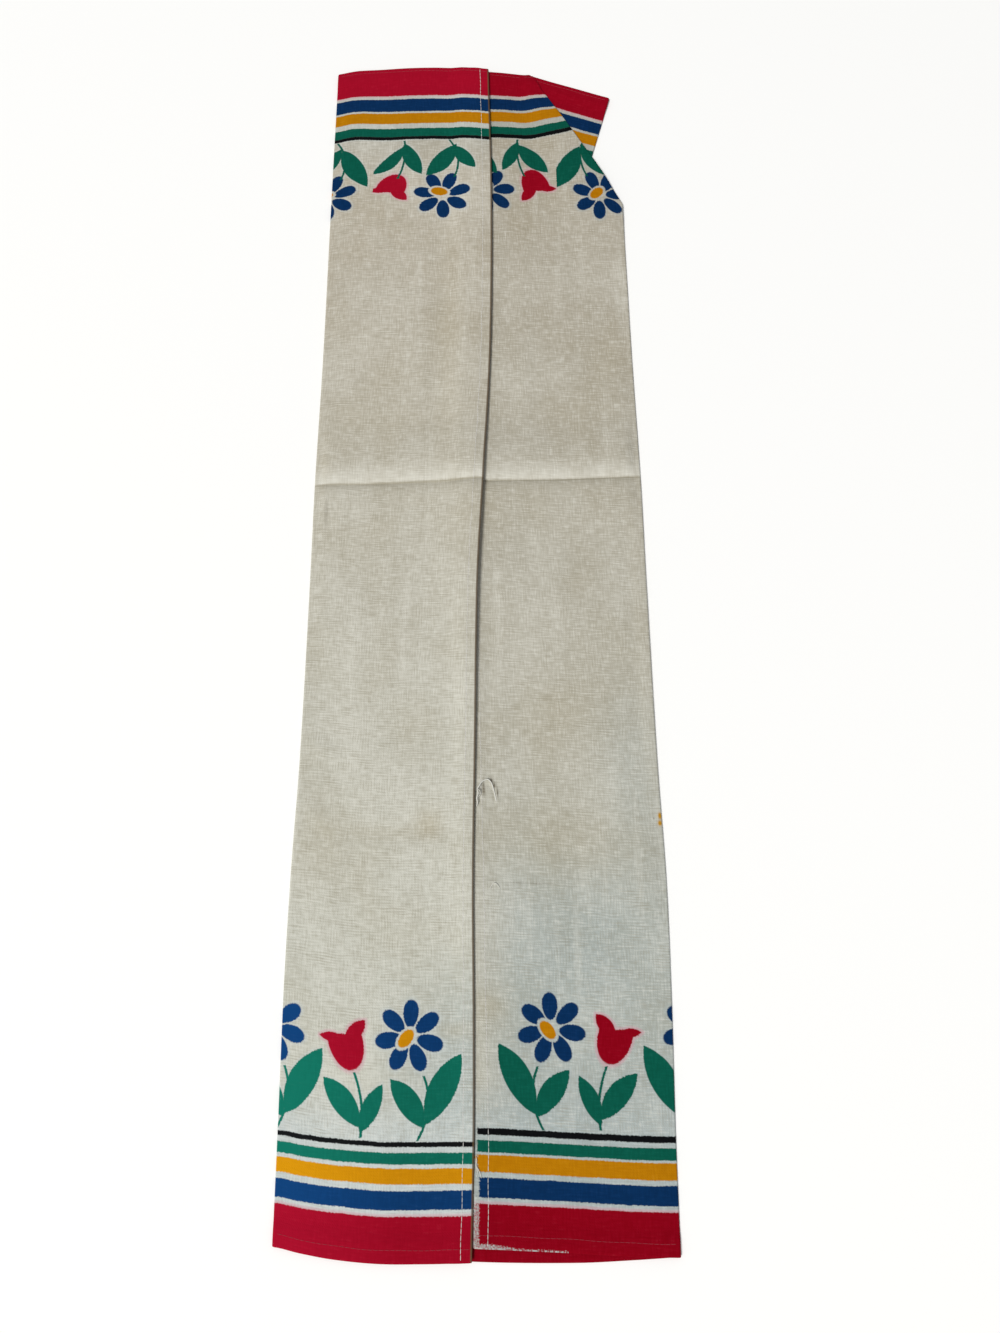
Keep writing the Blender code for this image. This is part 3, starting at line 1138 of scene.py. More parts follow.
class BorderPrint:
    """Writes the stripes and flowers as formulas over the flat cloth."""

    SOFT = 0.45
    CENTRE = 208.4
    NO_TULIP_CENTRE = 204.0
    NO_TULIP_HALF_WIDTH = 9.0
    FIRST_TULIP_OUT = 8.0

    def __init__(self, cloth: ClothTree, cut: Cut) -> None:
        """Work out where each place stands in the print.

        Args:
            cloth: The tree that the formulas go in.
            cut: The flat cloth.
        """
        rough = cloth.noise(ROUGH_INK) - 0.5
        drift = cloth.noise(DRIFTING_INK) - 0.5
        self.across = cloth.across + rough * 0.9
        along = cloth.along + rough * 1.1 + drift * 0.7
        self.right = self.across.above(self.CENTRE)
        self.far = along.above(0.0)
        self.right_far = self.right * self.far
        self.far_left = self.far - self.right_far
        self.near_left = 1.0 - self.right - self.far + self.right_far
        mirrored = cut.width / MILLIMETRE - self.across
        self.from_edge = self.across + (mirrored - self.across) * self.right
        self.inward = cut.length / 2 / MILLIMETRE - abs(along)
        self.stripe_inward, self.sprig_inward, self.daisy_inward = self._drawn()

    def _drawn(self) -> tuple[Formula, Formula, Formula]:
        """How far in the print stands, where the cloth was stretched as it was printed.

        Returns:
            The distances from the end hem that the stripes, the sprigs and tulips, and the
            daisies are laid out by.
        """
        gathered = self.from_edge.ramp(18.0, 45.0) * 1.2
        fanned = self.inward.ramp(15.0, 55.0) * (self.from_edge - 42.0).most(0.0) * 0.13
        before_pleat = (self.from_edge - self.inward * 0.58 - 49.4).ramp(5.0, 1.0)
        stripes = (gathered + fanned) * before_pleat * self.right_far
        raised = self.from_edge.ramp(26.0, 52.0) * self.from_edge.ramp(95.0, 66.0) * 2.8
        at_fold = self.from_edge.ramp(68.0, 106.0)
        sunk = at_fold * (self.near_left * 1.1 + self.far_left * 1.2)
        daisies = self.inward + sunk
        return daisies + stripes, daisies + raised * self.right_far, daisies

    def choose(self, values: Sequence[float]) -> Value:
        """Pick a number for each quarter of the print.

        Args:
            values: The numbers, in the order of Quarter.

        Returns:
            The one that holds at each place.
        """
        near_left, near_right, far_left, far_right = values
        if near_left == near_right == far_left == far_right:
            return near_left
        twist = far_right - far_left - near_right + near_left
        return (self.right * (near_right - near_left) + self.far * (far_left - near_left)
                + self.right_far * twist + near_left)

    def stripe(self, row: Stripe) -> Formula:
        """Draw one stripe.

        Args:
            row: Its sizes.

        Returns:
            The depth inside its edges.
        """
        start = self.choose([quarter[0] for quarter in row[1:]])
        stop = self.choose([quarter[1] for quarter in row[1:]])
        return (self.stripe_inward - start).least(stop - self.stripe_inward)

    def band_end(self) -> Value:
        """How far from the end hem the last stripe stops."""
        return self.choose([quarter[1] for quarter in STRIPES[-1][1:]])

    def motif_places(self) -> tuple[Formula, Formula, Formula, Formula]:
        """Where each place stands beside its flowers.

        Returns:
            How far out from the daisy it is, how far up from the black stripe for sprigs and
            for daisies, and 1 where a tulip has room.
        """
        base = self.band_end()
        first = self.choose([row.first_daisy for row in LAYOUTS])
        spacing = self.choose([row.spacing for row in LAYOUTS])
        past_first = self.from_edge - first
        foot = past_first * self.choose([row.tilt for row in LAYOUTS]) + base
        up, daisy_up = self.sprig_inward - foot, self.daisy_inward - foot
        start = up.ramp(44.0, 51.0) * 4.0 - 30.0
        out = (past_first - start).step("WRAP", spacing, 0.0) + start
        from_middle = abs(self.across - self.NO_TULIP_CENTRE)
        has_tulip = (from_middle.above(self.NO_TULIP_HALF_WIDTH)
                     * past_first.above(self.FIRST_TULIP_OUT))
        self.past_first = past_first
        return out, up, daisy_up, has_tulip

    def leaf(self, out: Formula, up: Formula, leaf: Leaf) -> Formula:
        """One leaf, as a depth inside its edge.

        Args:
            out: Places out from the daisy.
            up: Places up from the black stripe.
            leaf: The leaf's sizes.

        Returns:
            The depth, which is negative outside.
        """
        length = math.hypot(leaf.tip_out - leaf.foot_out, leaf.tip_up - leaf.foot_up)
        cos = (leaf.tip_out - leaf.foot_out) / length
        sin = (leaf.tip_up - leaf.foot_up) / length
        radius = (length ** 2 / 4 + leaf.half_width ** 2) / (2 * leaf.half_width)
        out, up = out - leaf.foot_out, up - leaf.foot_up
        middle = out * cos + up * sin - length / 2
        side = up * cos - out * sin
        bow = 4 * leaf.bend / length ** 2
        side = side + middle * middle * bow - leaf.bend
        return radius - middle.far_from(abs(side) + (radius - leaf.half_width))

    def sprig(self, out: Formula, up: Formula, sprig: Sprig, shift: Value = 0.0,
              scale: Value = 1.0) -> Formula:
        """One sprig, as a depth inside its edge.

        Args:
            out: Places out from the daisy.
            up: Places up from the black stripe.
            sprig: The sprig's leaves and stem.
            shift: How far its foot stands in towards the free edge.
            scale: How much smaller its leaves are drawn.

        Returns:
            The depth, which is negative outside.
        """
        moved, high = (out + shift) * scale, up * scale
        leaves = self.leaf(moved, high, sprig.large).most(self.leaf(moved, high, sprig.small))
        return leaves.most(self.stem(out, up, sprig.stem, shift))

    def stem(self, out: Formula, up: Formula, stem: Stem, shift: Value) -> Formula:
        """One stem, as a depth inside its edge.

        Args:
            out: Places out from the daisy.
            up: Places up from the black stripe.
            stem: The stem's sizes.
            shift: How far its foot stands in towards the free edge.

        Returns:
            The depth, which is negative outside.
        """
        length = stem.top_up - stem.foot_up
        share = (up - stem.foot_up) * (1 / length)
        bow = (share - share * share) * (4 * stem.bow)
        moved = out + (1.0 - share) * shift
        away = abs(moved - stem.foot_out - share * (stem.top_out - stem.foot_out) - bow)
        ends = (length / 2) - abs(up - (stem.foot_up + length / 2))
        return (stem.half_width - away).least(ends)

    def daisy(self, out: Formula, up: Formula, daisy: Daisy) -> tuple[Formula, Formula]:
        """The daisy's petals and heart, as depths inside their edges.

        Args:
            out: Places out from the daisy.
            up: Places up from the black stripe.
            daisy: The daisy's sizes.

        Returns:
            The petals and the heart.
        """
        up = up - self.choose(daisy.heights)
        reach = out.far_from(up)
        step = 2 * math.pi / daisy.petals
        angle = up.step("ARCTAN2", out) - daisy.first_petal
        angle = angle.step("WRAP", step / 2, -step / 2)
        outwards = reach * angle.step("COSINE") - daisy.ring
        sideways = reach * angle.step("SINE")
        fuller = outwards * (daisy.petal_fullness / daisy.petal_half_length) + 1.0
        oval = (outwards * (1 / daisy.petal_half_length)).far_from(
            sideways / (fuller * daisy.petal_half_width))
        petals = (1.0 - oval) * daisy.petal_half_width

        tilt = self.choose([math.radians(angle) for angle in daisy.heart_tilts])
        shift = self.right * (-2 * daisy.heart_shift) + daisy.heart_shift
        out, up = out - shift, up + self.choose(daisy.heart_drops)
        cos, sin = tilt.step("COSINE"), tilt.step("SINE")
        lengthwise = (out * cos + up * sin) * (1 / daisy.heart_half_length)
        sideways = (up * cos - out * sin) * (1 / daisy.heart_half_width)
        heart = (1.0 - lengthwise.far_from(sideways)) * daisy.heart_half_width
        return petals.least(-daisy.rim - heart), heart

    def tulip(self, out: Formula, up: Formula, tulip: Tulip) -> Formula:
        """The tulip, as a depth inside its edge.

        Args:
            out: Places out from the daisy.
            up: Places up from the black stripe.
            tulip: The tulip's sizes.

        Returns:
            The depth, which is negative outside.
        """
        out = (out - self.choose(tulip.outs)) * self.choose(tulip.slims)
        up = (up - self.choose(tulip.heights)) * self.choose(tulip.shrinks)
        sideways = (out - up * tulip.lean) * (1 / tulip.half_width)
        upwards = (up - tulip.half_height) * (1 / tulip.half_height)
        bell = ((1.0 - sideways.far_from(upwards)) * tulip.half_width).least(tulip.notch - up)
        outer = self.leaf(out, up, tulip.outer_tip)
        return bell.most(outer).most(self.leaf(out, up, tulip.inner_tip))

    def ink_depths(self) -> dict[Ink, Formula]:
        """Draw each colour's stripes and flowers together.

        Returns:
            The depths inside their edges.
        """
        out, up, daisy_up, has_tulip = self.motif_places()
        depths = {row.ink: self.stripe(row) for row in STRIPES}
        petals, heart = self.daisy(out, daisy_up, Daisy())
        no_tulip = (has_tulip - 1.0) * 99.0
        tulip = self.tulip(out, up, Tulip()) + no_tulip

        under_first = self.far_left * (1.0 - self.past_first.above(38.0))
        shift = self.choose([row.daisy_shift for row in LAYOUTS])
        scale = self.choose([row.sprig_scale for row in LAYOUTS])
        usual = self.sprig(out, up, DAISY_SPRIG, shift, scale)
        other = self.sprig(out, up, FAR_DAISY_SPRIG)
        daisy_green = usual + (other - usual) * under_first
        shift = self.choose([row.tulip_shift for row in LAYOUTS])
        usual = self.sprig(out + shift, up, TULIP_SPRIG)
        other = self.sprig(out, up, FAR_TULIP_SPRIG)
        tulip_green = usual + (other - usual) * self.far_left
        green = daisy_green.most(tulip_green + no_tulip)

        depths[Ink.GREEN] = depths[Ink.GREEN].most(green)
        depths[Ink.BLUE] = depths[Ink.BLUE].most(petals)
        depths[Ink.YELLOW] = depths[Ink.YELLOW].most(heart)
        depths[Ink.RED] = depths[Ink.RED].most(tulip)
        return depths


@dataclass(frozen=True)
class BareStrip:
    """The strip that the print missed at the near right corner, in millimetres.

    It runs along the side hem as far as a slanting start, thins to a rim further on, and turns
    along the near hem, where it narrows.
    """

    side_width: float = 2.5
    side_end: float = 14.6
    side_slant: float = -0.33
    rim_width: float = 1.3
    rim_span: tuple[float, float] = (44.0, 66.0)
    near_reach: float = 50.0
    near_narrowing: tuple[float, float] = (24.0, 8.0)
    near_width: float = 0.35
    near_widening: float = 1.7

    def depth(self, cloth: ClothTree, cut: Cut) -> Formula:
        """Draw the strip.

        Args:
            cloth: The tree that the formula goes in.
            cut: The flat cloth.

        Returns:
            The depth inside its edges, which is negative outside.
        """
        from_edge = cut.width / MILLIMETRE - cloth.across
        from_hem = cloth.along + cut.length / 2 / MILLIMETRE
        side = (self.side_width - from_edge).least(
            from_hem * self.side_slant + self.side_end - from_edge)
        start, stop = self.rim_span
        rim = (self.rim_width - from_edge).least((from_hem - start).least(stop - from_hem))
        near = from_edge.ramp(*self.near_narrowing) * self.near_widening
        near = near + self.near_width - from_hem
        return side.most(rim).most(near.least(self.near_reach - from_edge))


# --- Finishes ---


class ClothSide(Enum):
    """Which side of the cloth a finish is for."""

    PRINTED = "printed_linen"
    REVERSE = "linen_reverse"


class CreaseLine(NamedTuple):
    """Where the pressed crease lies in the flat cloth: along = start + slope x across."""

    start: float
    slope: float


class Yarns(NamedTuple):
    """The patterns of the yarns that run across, those that run along, and the thicker ones."""

    weft: Formula
    warp: Formula
    slubs: Formula


TAN_STAINS = (
    SoftSpot(9.5, -276.0, 10.0, 5.0, 0.32),
    SoftSpot(92.0, -178.0, 20.0, 26.0, 0.22),
    SoftSpot(420.0, -268.0, 9.0, 7.0, 0.32),
    SoftSpot(27.0, -162.0, 8.0, 9.0, 0.42),
    SoftSpot(47.0, -168.0, 30.0, 5.0, 0.20),
    SoftSpot(28.0, 155.0, 8.0, 105.0, 0.20),
    SoftSpot(380.0, -95.0, 18.0, 26.0, 0.16),
    SoftSpot(374.0, -172.0, 40.0, 24.0, 0.34),
)
DARK_MARKS_AND_HOLLOW_SHADE = (
    SoftSpot(418.0, -198.8, 3.4, 0.34, 0.35),
    SoftSpot(403.5, -199.4, 4.5, 0.36, 0.42),
    SoftSpot(392.0, -199.2, 5.5, 0.36, 0.50),
    # Painted shade in the hollows beside the legs of the arch at the pulled thread.
    SoftSpot(421.3, -145.6, 0.75, 4.6, 0.95),
    SoftSpot(416.8, -140.2, 0.7, 1.5, 0.90),
    SoftSpot(415.2, -143.4, 0.6, 2.0, 0.95),
    SoftSpot(413.4, -147.4, 0.5, 2.4, 0.85),
    SoftSpot(324.0, -158.4, 0.5, 0.5, 0.80),
    SoftSpot(98.0, 34.0, 1.1, 9.0, 0.28),
)
# Spots of painted cool shade on the right flap.
COOL_SHADE_SPOTS = (
    SoftSpot(368.0, -222.0, 40.0, 40.0, 0.30),
    SoftSpot(335.0, -135.0, 18.0, 50.0, 0.30),
)
OCHRE_SPOTS = (
    SoftSpot(320.3, -156.6, 0.9, 1.7, 1.6),
    SoftSpot(320.6, -161.0, 1.0, 1.4, 1.6),
)


@dataclass(frozen=True)
class Linen:
    """Unbleached plain-woven linen: uneven yarns, soft blotches and the print over them."""

    side: ClothSide
    colour: Colour = (0.553, 0.558, 0.490, 1.0)
    # The dark yarn is also painted shade in the crease, and the pale yarn a painted highlight on its
    # far bank.
    dark_yarn: Colour = (0.290, 0.262, 0.190, 1.0)
    pale_yarn: Colour = (0.780, 0.770, 0.700, 1.0)
    tan: Colour = (0.400, 0.345, 0.230, 1.0)
    # Painted cool shade.
    cool: Colour = (0.330, 0.390, 0.390, 1.0)
    # Warmer linen for the far end, partly its own tone and partly painted shade of the light falling
    # off.
    warm: Colour = (0.438, 0.388, 0.310, 1.0)
    # Painted shade for the right flap and for the left flap's free edge in the far half.
    worn_side: Colour = (0.300, 0.270, 0.210, 1.0)
    ochre: Colour = (0.450, 0.230, 0.020, 1.0)
    # Dark marks in the linen, and painted shade in the arch's hollows.
    grime: Colour = (0.120, 0.098, 0.065, 1.0)
    # Painted shade along the left flap's free edge.
    edge: Colour = (0.110, 0.072, 0.040, 1.0)
    pink: Colour = (0.600, 0.270, 0.330, 1.0)
    washed: Colour = (0.525, 0.585, 0.590, 1.0)
    # The washed linen in painted shade, for the right flap.
    washed_worn: Colour = (0.355, 0.420, 0.430, 1.0)
    roughness: float = 0.90
    specular: float = 0.03
    yarn_height: float = 0.00020
    warp_pitch: float = 0.70
    weft_pitch: float = 0.72
    column_pitch: float = 0.80
    row_pitch: float = 0.75
    missed: float = 0.02
    show_through: float = 0.16

    def material(self, cut: Cut, creases: Sequence[CreaseLine]) -> bpy.types.Material:
        """Make the material.

        Args:
            cut: The flat cloth.
            creases: Where the pressed crease crosses the left and the right flap.

        Returns:
            The finished material.
        """
        cloth = ClothTree(self.side.value)
        yarns = Yarns(cloth.noise(WEFT), cloth.noise(WARP), cloth.noise(SLUBS))
        colour = self._bare(cloth, yarns)
        colour = self._creased(cloth, colour, creases)
        colour = self._printed(cloth, colour, yarns, cut)

        shader = cloth.shader
        cloth.tree.links.new(colour, shader.inputs["Base Color"])
        shader.inputs["Roughness"].default_value = self.roughness
        shader.inputs["Specular IOR Level"].default_value = self.specular
        relief = yarns.weft + yarns.warp + yarns.slubs * 0.5 + self._weave(cloth) * 0.35
        cloth.bump(relief, self.yarn_height)
        return cloth.material

    def _weave(self, cloth: ClothTree) -> Formula:
        """The over and under of the plain weave, 14 uneven yarns to the centimetre.

        Args:
            cloth: The tree that it goes in.

        Returns:
            Heights from 0 to 1.
        """
        stray = cloth.noise(STRAYING_WEAVE) * 1.2
        over = ((cloth.across + stray) * (math.pi / self.warp_pitch)).step("SINE")
        under = ((cloth.along + stray) * (math.pi / self.weft_pitch)).step("SINE")
        return over * under * 0.5 + 0.5

    def _bare(self, cloth: ClothTree, yarns: Yarns) -> bpy.types.NodeSocket:
        """Colour the unprinted linen.

        Args:
            cloth: The tree that it goes in.
            yarns: The patterns of the yarns.

        Returns:
            The socket that gives the colour.
        """
        blotches, small = cloth.noise(BLOTCHES), cloth.noise(SMALL_BLOTCHES)
        streaks = cloth.noise(PRESSED_STREAKS)
        weave = yarns.weft * 0.55 + yarns.warp * 0.45
        # Warmer and darker towards the far end: partly the linen's own tone, partly painted shade of
        # the light falling off there.
        colour = cloth.mix(cloth.along.ramp(-300.0, 250.0) * 0.85, self.colour, self.warm)
        colour = self._shaded(cloth, colour)
        for share, tone in (
                (blotches.ramp(0.42, 0.72) * 0.22, self.pale_yarn),
                (blotches.ramp(0.52, 0.28) * 0.18, self.tan),
                (small.ramp(0.50, 0.80) * 0.09, self.pale_yarn),
                (streaks.ramp(0.56, 0.74) * 0.20, self.pale_yarn),
                (streaks.ramp(0.44, 0.28) * 0.12, self.dark_yarn),
                (cloth.spots(TAN_STAINS), self.tan),
                # Dark marks, and painted shade in the arch's hollows.
                (cloth.spots(DARK_MARKS_AND_HOLLOW_SHADE), self.grime),
                (weave.ramp(0.50, 0.36) * 0.36, self.dark_yarn),
                (weave.ramp(0.50, 0.64) * 0.36, self.pale_yarn),
                (yarns.slubs.ramp(0.62, 0.76) * 0.18, self.dark_yarn),
                (yarns.slubs.ramp(0.38, 0.24) * 0.20, self.pale_yarn),
                (self._thread_lines(cloth), self.dark_yarn),
                (cloth.spots(OCHRE_SPOTS), self.ochre),
        ):
            colour = cloth.mix(share, colour, tone)
        return colour

    def _shaded(self, cloth: ClothTree, colour: bpy.types.NodeSocket) -> bpy.types.NodeSocket:
        """Lay painted shade over the linen, dark and cool, and the paler washed linen of the near
        end, which is in painted shade on the right.

        Args:
            cloth: The tree that they go in.
            colour: The linen's colour.

        Returns:
            The socket that gives the colour.
        """
        across, along = cloth.across, cloth.along
        right = across.ramp(190.0, 230.0)
        left = 1.0 - right
        # Painted shade: the right flap darker, more so towards the far end, and the left flap darker
        # by its free edge in the far half.
        right_shade = right * (along.ramp(0.0, 300.0) * 0.10 + 0.27)
        free_edge_shade = left * across.ramp(32.0, 4.0) * along.ramp(-60.0, 60.0) * 0.18
        colour = cloth.mix(right_shade + free_edge_shade, colour, self.worn_side)
        # Painted cool shade: the right flap's near end, the left half's near end by its free edge,
        # the left half's far end, and spots.
        cool = right * along.ramp(-130.0, -300.0) * across.ramp(428.0, 404.0) * 0.80
        cool = cool + left * along.ramp(-225.0, -290.0) * across.ramp(58.0, 10.0) * 0.78
        cool = cool + left * along.ramp(296.0, 326.0) * 0.22 + cloth.spots(COOL_SHADE_SPOTS)
        colour = cloth.mix(cool.least(0.85), colour, self.cool)
        # The paler washed linen of the near end, in painted shade on the right flap.
        washed = cloth.mix(right, self.washed, self.washed_worn)
        return cloth.mix(along.ramp(-306.0, -330.0) * 0.78, colour, washed)

    def _thread_lines(self, cloth: ClothTree) -> Formula:
        """Fine darker lines between the yarns, in patches where the weave is open.

        Args:
            cloth: The tree that they go in.

        Returns:
            The share of the darker colour.
        """
        opened = cloth.noise(OPEN_WEAVE)
        stray = cloth.noise(STRAYING_LINES) * 1.6
        rows = ((cloth.along + stray) * (math.pi / self.row_pitch)).step("SINE")
        columns = ((cloth.across + stray) * (math.pi / self.column_pitch)).step("SINE")
        rows = rows.ramp(0.1, 0.9) * opened.ramp(0.50, 0.66) * 0.34
        return rows + columns.ramp(0.1, 0.9) * opened.ramp(0.50, 0.34) * 0.22

    def _creased(self, cloth: ClothTree, colour: bpy.types.NodeSocket,
                 creases: Sequence[CreaseLine]) -> bpy.types.NodeSocket:
        """Paint the pressed crease's light and shade: a painted highlight on its far bank, painted
        shade on its near side and a dark painted line of shade in its valley.

        Args:
            cloth: The tree that it goes in.
            colour: The linen's colour.
            creases: Where the crease crosses the left and the right flap.

        Returns:
            The socket that gives the colour.
        """
        left, right = (cloth.across * line.slope + line.start / MILLIMETRE for line in creases)
        away = cloth.along - left - (right - left) * cloth.across.above(BorderPrint.CENTRE)
        # Painted highlight on the crease's far bank, in patches.
        patchy_highlight = cloth.noise(BANK_HIGHLIGHT_PATCHES).ramp(0.30, 0.62) * 0.30 + 0.20
        bank = away.ramp(0.3, 1.6) * away.ramp(15.0, 2.0) * patchy_highlight
        colour = cloth.mix(bank, colour, self.pale_yarn)
        # Painted shade on the crease's near side, and a dark painted line of shade in its valley.
        valley = away.ramp(-8.0, -1.0) * away.ramp(0.4, -0.4) * 0.20
        line = abs(away + 0.2).ramp(1.1, 0.2) * 0.55
        return cloth.mix(valley.most(line), colour, self.dark_yarn)

    def _printed(self, cloth: ClothTree, colour: bpy.types.NodeSocket, yarns: Yarns, cut: Cut
                 ) -> bpy.types.NodeSocket:
        """Lay the inks over the linen, then a dark line of painted shade along the left flap's free
        edge.

        Args:
            cloth: The tree that they go in.
            colour: The bare linen's colour.
            yarns: The patterns of the yarns.
            cut: The flat cloth.

        Returns:
            The socket that gives the colour.
        """
        border = BorderPrint(cloth, cut)
        depths = border.ink_depths()
        cover = self._cover(cloth, border, cut)
        # The washed linen, in painted shade on the right flap.
        washed = cloth.mix(border.right, self.washed, self.washed_worn)
        colour = cloth.mix(self._washed(border, list(depths.values())) * cover, colour, washed)
        by_red = depths[Ink.RED].ramp(-1.8, -0.6) * 0.48
        colour = cloth.mix(by_red * cover, colour, self.pink)
        missed = (yarns.weft * 0.7 + yarns.warp * 0.3).ramp(0.58, 0.78) * self.missed
        cover = cover * (1.0 - missed)
        uneven = (yarns.weft + yarns.warp).ramp(0.85, 1.25) * 0.20
        uneven = uneven + border.near_left * border.from_edge.ramp(38.0, 98.0) * 0.50
        # Each quarter's share of thin ink is partly painted shade, lower on the right flap.
        thin, red_thin_and_shade = border.choose(INK_THINNESS_AND_SHADE), border.choose(RED_THINNESS_AND_SHADE)
        for ink, depth in depths.items():
            share = (uneven + (red_thin_and_shade if ink is Ink.RED else thin)).least(1.0)
            shade = cloth.mix(share, *ink.value)
            mask = depth.ramp(-border.SOFT / 2, border.SOFT / 2)
            colour = cloth.mix(mask * cover, colour, shade)
        # Painted shade: a dark brown line along the left flap's free edge, for the shadow where it
        # laps over the right flap.
        rim = cloth.across.ramp(0.70, 0.30) * 0.85
        return cloth.mix(rim, colour, self.edge)

    def _cover(self, cloth: ClothTree, border: BorderPrint, cut: Cut) -> Formula:
        """How fully the inks cover the linen on this side.

        Args:
            cloth: The tree that it goes in.
            border: The print.
            cut: The flat cloth.

        Returns:
            The share, from 0 to 1.
        """
        ragged = cloth.noise(RAGGED_STRIP)
        bare = (BareStrip().depth(cloth, cut) + ragged * 2.4 - 1.2).ramp(-0.2, 0.5)
        flecks = ragged.ramp(0.56, 0.40) * border.inward.ramp(27.0, 21.0) * 0.55
        cover = 1.0 - bare * (0.90 - flecks)
        if self.side is ClothSide.PRINTED:
            return cover
        hem_start = (cut.length / 2 - cut.hem_width) / MILLIMETRE
        in_end_hem = (abs(cloth.along) - hem_start).ramp(-0.2, 0.2)
        return cover * (in_end_hem * (1.0 - self.show_through) + self.show_through)

    @staticmethod
    def _washed(border: BorderPrint, depths: Sequence[Formula]) -> Formula:
        """How much paler the linen is among the stripes and close round the flowers.

        Args:
            border: The print.
            depths: All its inks, as depths inside their edges.

        Returns:
            The share of the washed colour.
        """
        nearest = depths[0]
        for depth in depths[1:]:
            nearest = nearest.most(depth)
        among = (border.stripe_inward - border.band_end()).ramp(1.0, 0.0) * 0.36
        return (nearest.ramp(-1.5, -0.3) * 0.36).most(among)


@dataclass(frozen=True)
class Thread:
    """Sewing or pulled thread."""

    name: str
    colour: Colour
    roughness: float = 0.8
    specular: float = 0.3
    sheen: float = 0.15
    twist_scale: float = 900.0
    twist_shade: float = 0.72

    def material(self) -> bpy.types.Material:
        """Make the material, with a twist's faint light and dark.

        Returns:
            The finished material.
        """
        material, shader = new_material(self.name)
        tree = material.node_tree
        noise = tree.nodes.new("ShaderNodeTexNoise")
        noise.inputs["Scale"].default_value = self.twist_scale
        source = tree.nodes.new("ShaderNodeTexCoord")
        tree.links.new(source.outputs["Object"], noise.inputs["Vector"])
        mix = tree.nodes.new("ShaderNodeMix")
        mix.data_type = "RGBA"
        mix.inputs["A"].default_value = self.colour
        dark = tuple(part * self.twist_shade for part in self.colour[:3])
        mix.inputs["B"].default_value = dark + (1.0,)
        tree.links.new(noise.outputs["Fac"], mix.inputs["Factor"])
        tree.links.new(mix.outputs["Result"], shader.inputs["Base Color"])
        shader.inputs["Roughness"].default_value = self.roughness
        shader.inputs["Specular IOR Level"].default_value = self.specular
        shader.inputs["Sheen Weight"].default_value = self.sheen
        return material


# --- The cloth ---


class Span(NamedTuple):
    """A stretch of the flat cloth, and how finely it is divided."""

    start: float
    end: float
    step: float


ACROSS_SPANS = (
    Span(0.0, 0.007, 0.001),
    Span(0.007, 0.015, 0.002),
    Span(0.015, 0.099, 0.0036),
    Span(0.099, 0.104, 0.0017),
    Span(0.104, 0.110, 0.0004),
    Span(0.110, 0.115, 0.0017),
    Span(0.115, 0.311, 0.0043),
    Span(0.311, 0.316, 0.0017),
    Span(0.316, 0.322, 0.0004),
    Span(0.322, 0.327, 0.0017),
    Span(0.327, 0.415, 0.0036),
    Span(0.415, 0.423, 0.002),
    Span(0.423, 0.430, 0.001),
)
ALONG_SPANS = (
    Span(-0.390, -0.383, 0.001),
    Span(-0.383, -0.373, 0.002),
    Span(-0.373, 0.035, 0.0036),
    Span(0.035, 0.080, 0.0022),
    Span(0.080, 0.275, 0.0036),
    Span(0.275, 0.373, 0.0026),
    Span(0.373, 0.383, 0.002),
    Span(0.383, 0.390, 0.001),
)


def divide(spans: Sequence[Span]) -> list[float]:
    """Divide the cloth one way.

    Args:
        spans: The stretches, in order.

    Returns:
        The places that they divide it at.
    """
    places = [spans[0].start]
    for span in spans:
        count = max(1, round((span.end - span.start) / span.step))
        places += [between(span.start, span.end, (i + 1) / count) for i in range(count)]
    return places


class Panel(Enum):
    """The folded cloth's layers, by the columns of Section that bound them."""

    LEFT_FLAP = ("left_edge", "left_fold")
    BACK = ("left_fold", "right_fold")
    RIGHT_FLAP = ("right_fold", "right_edge")


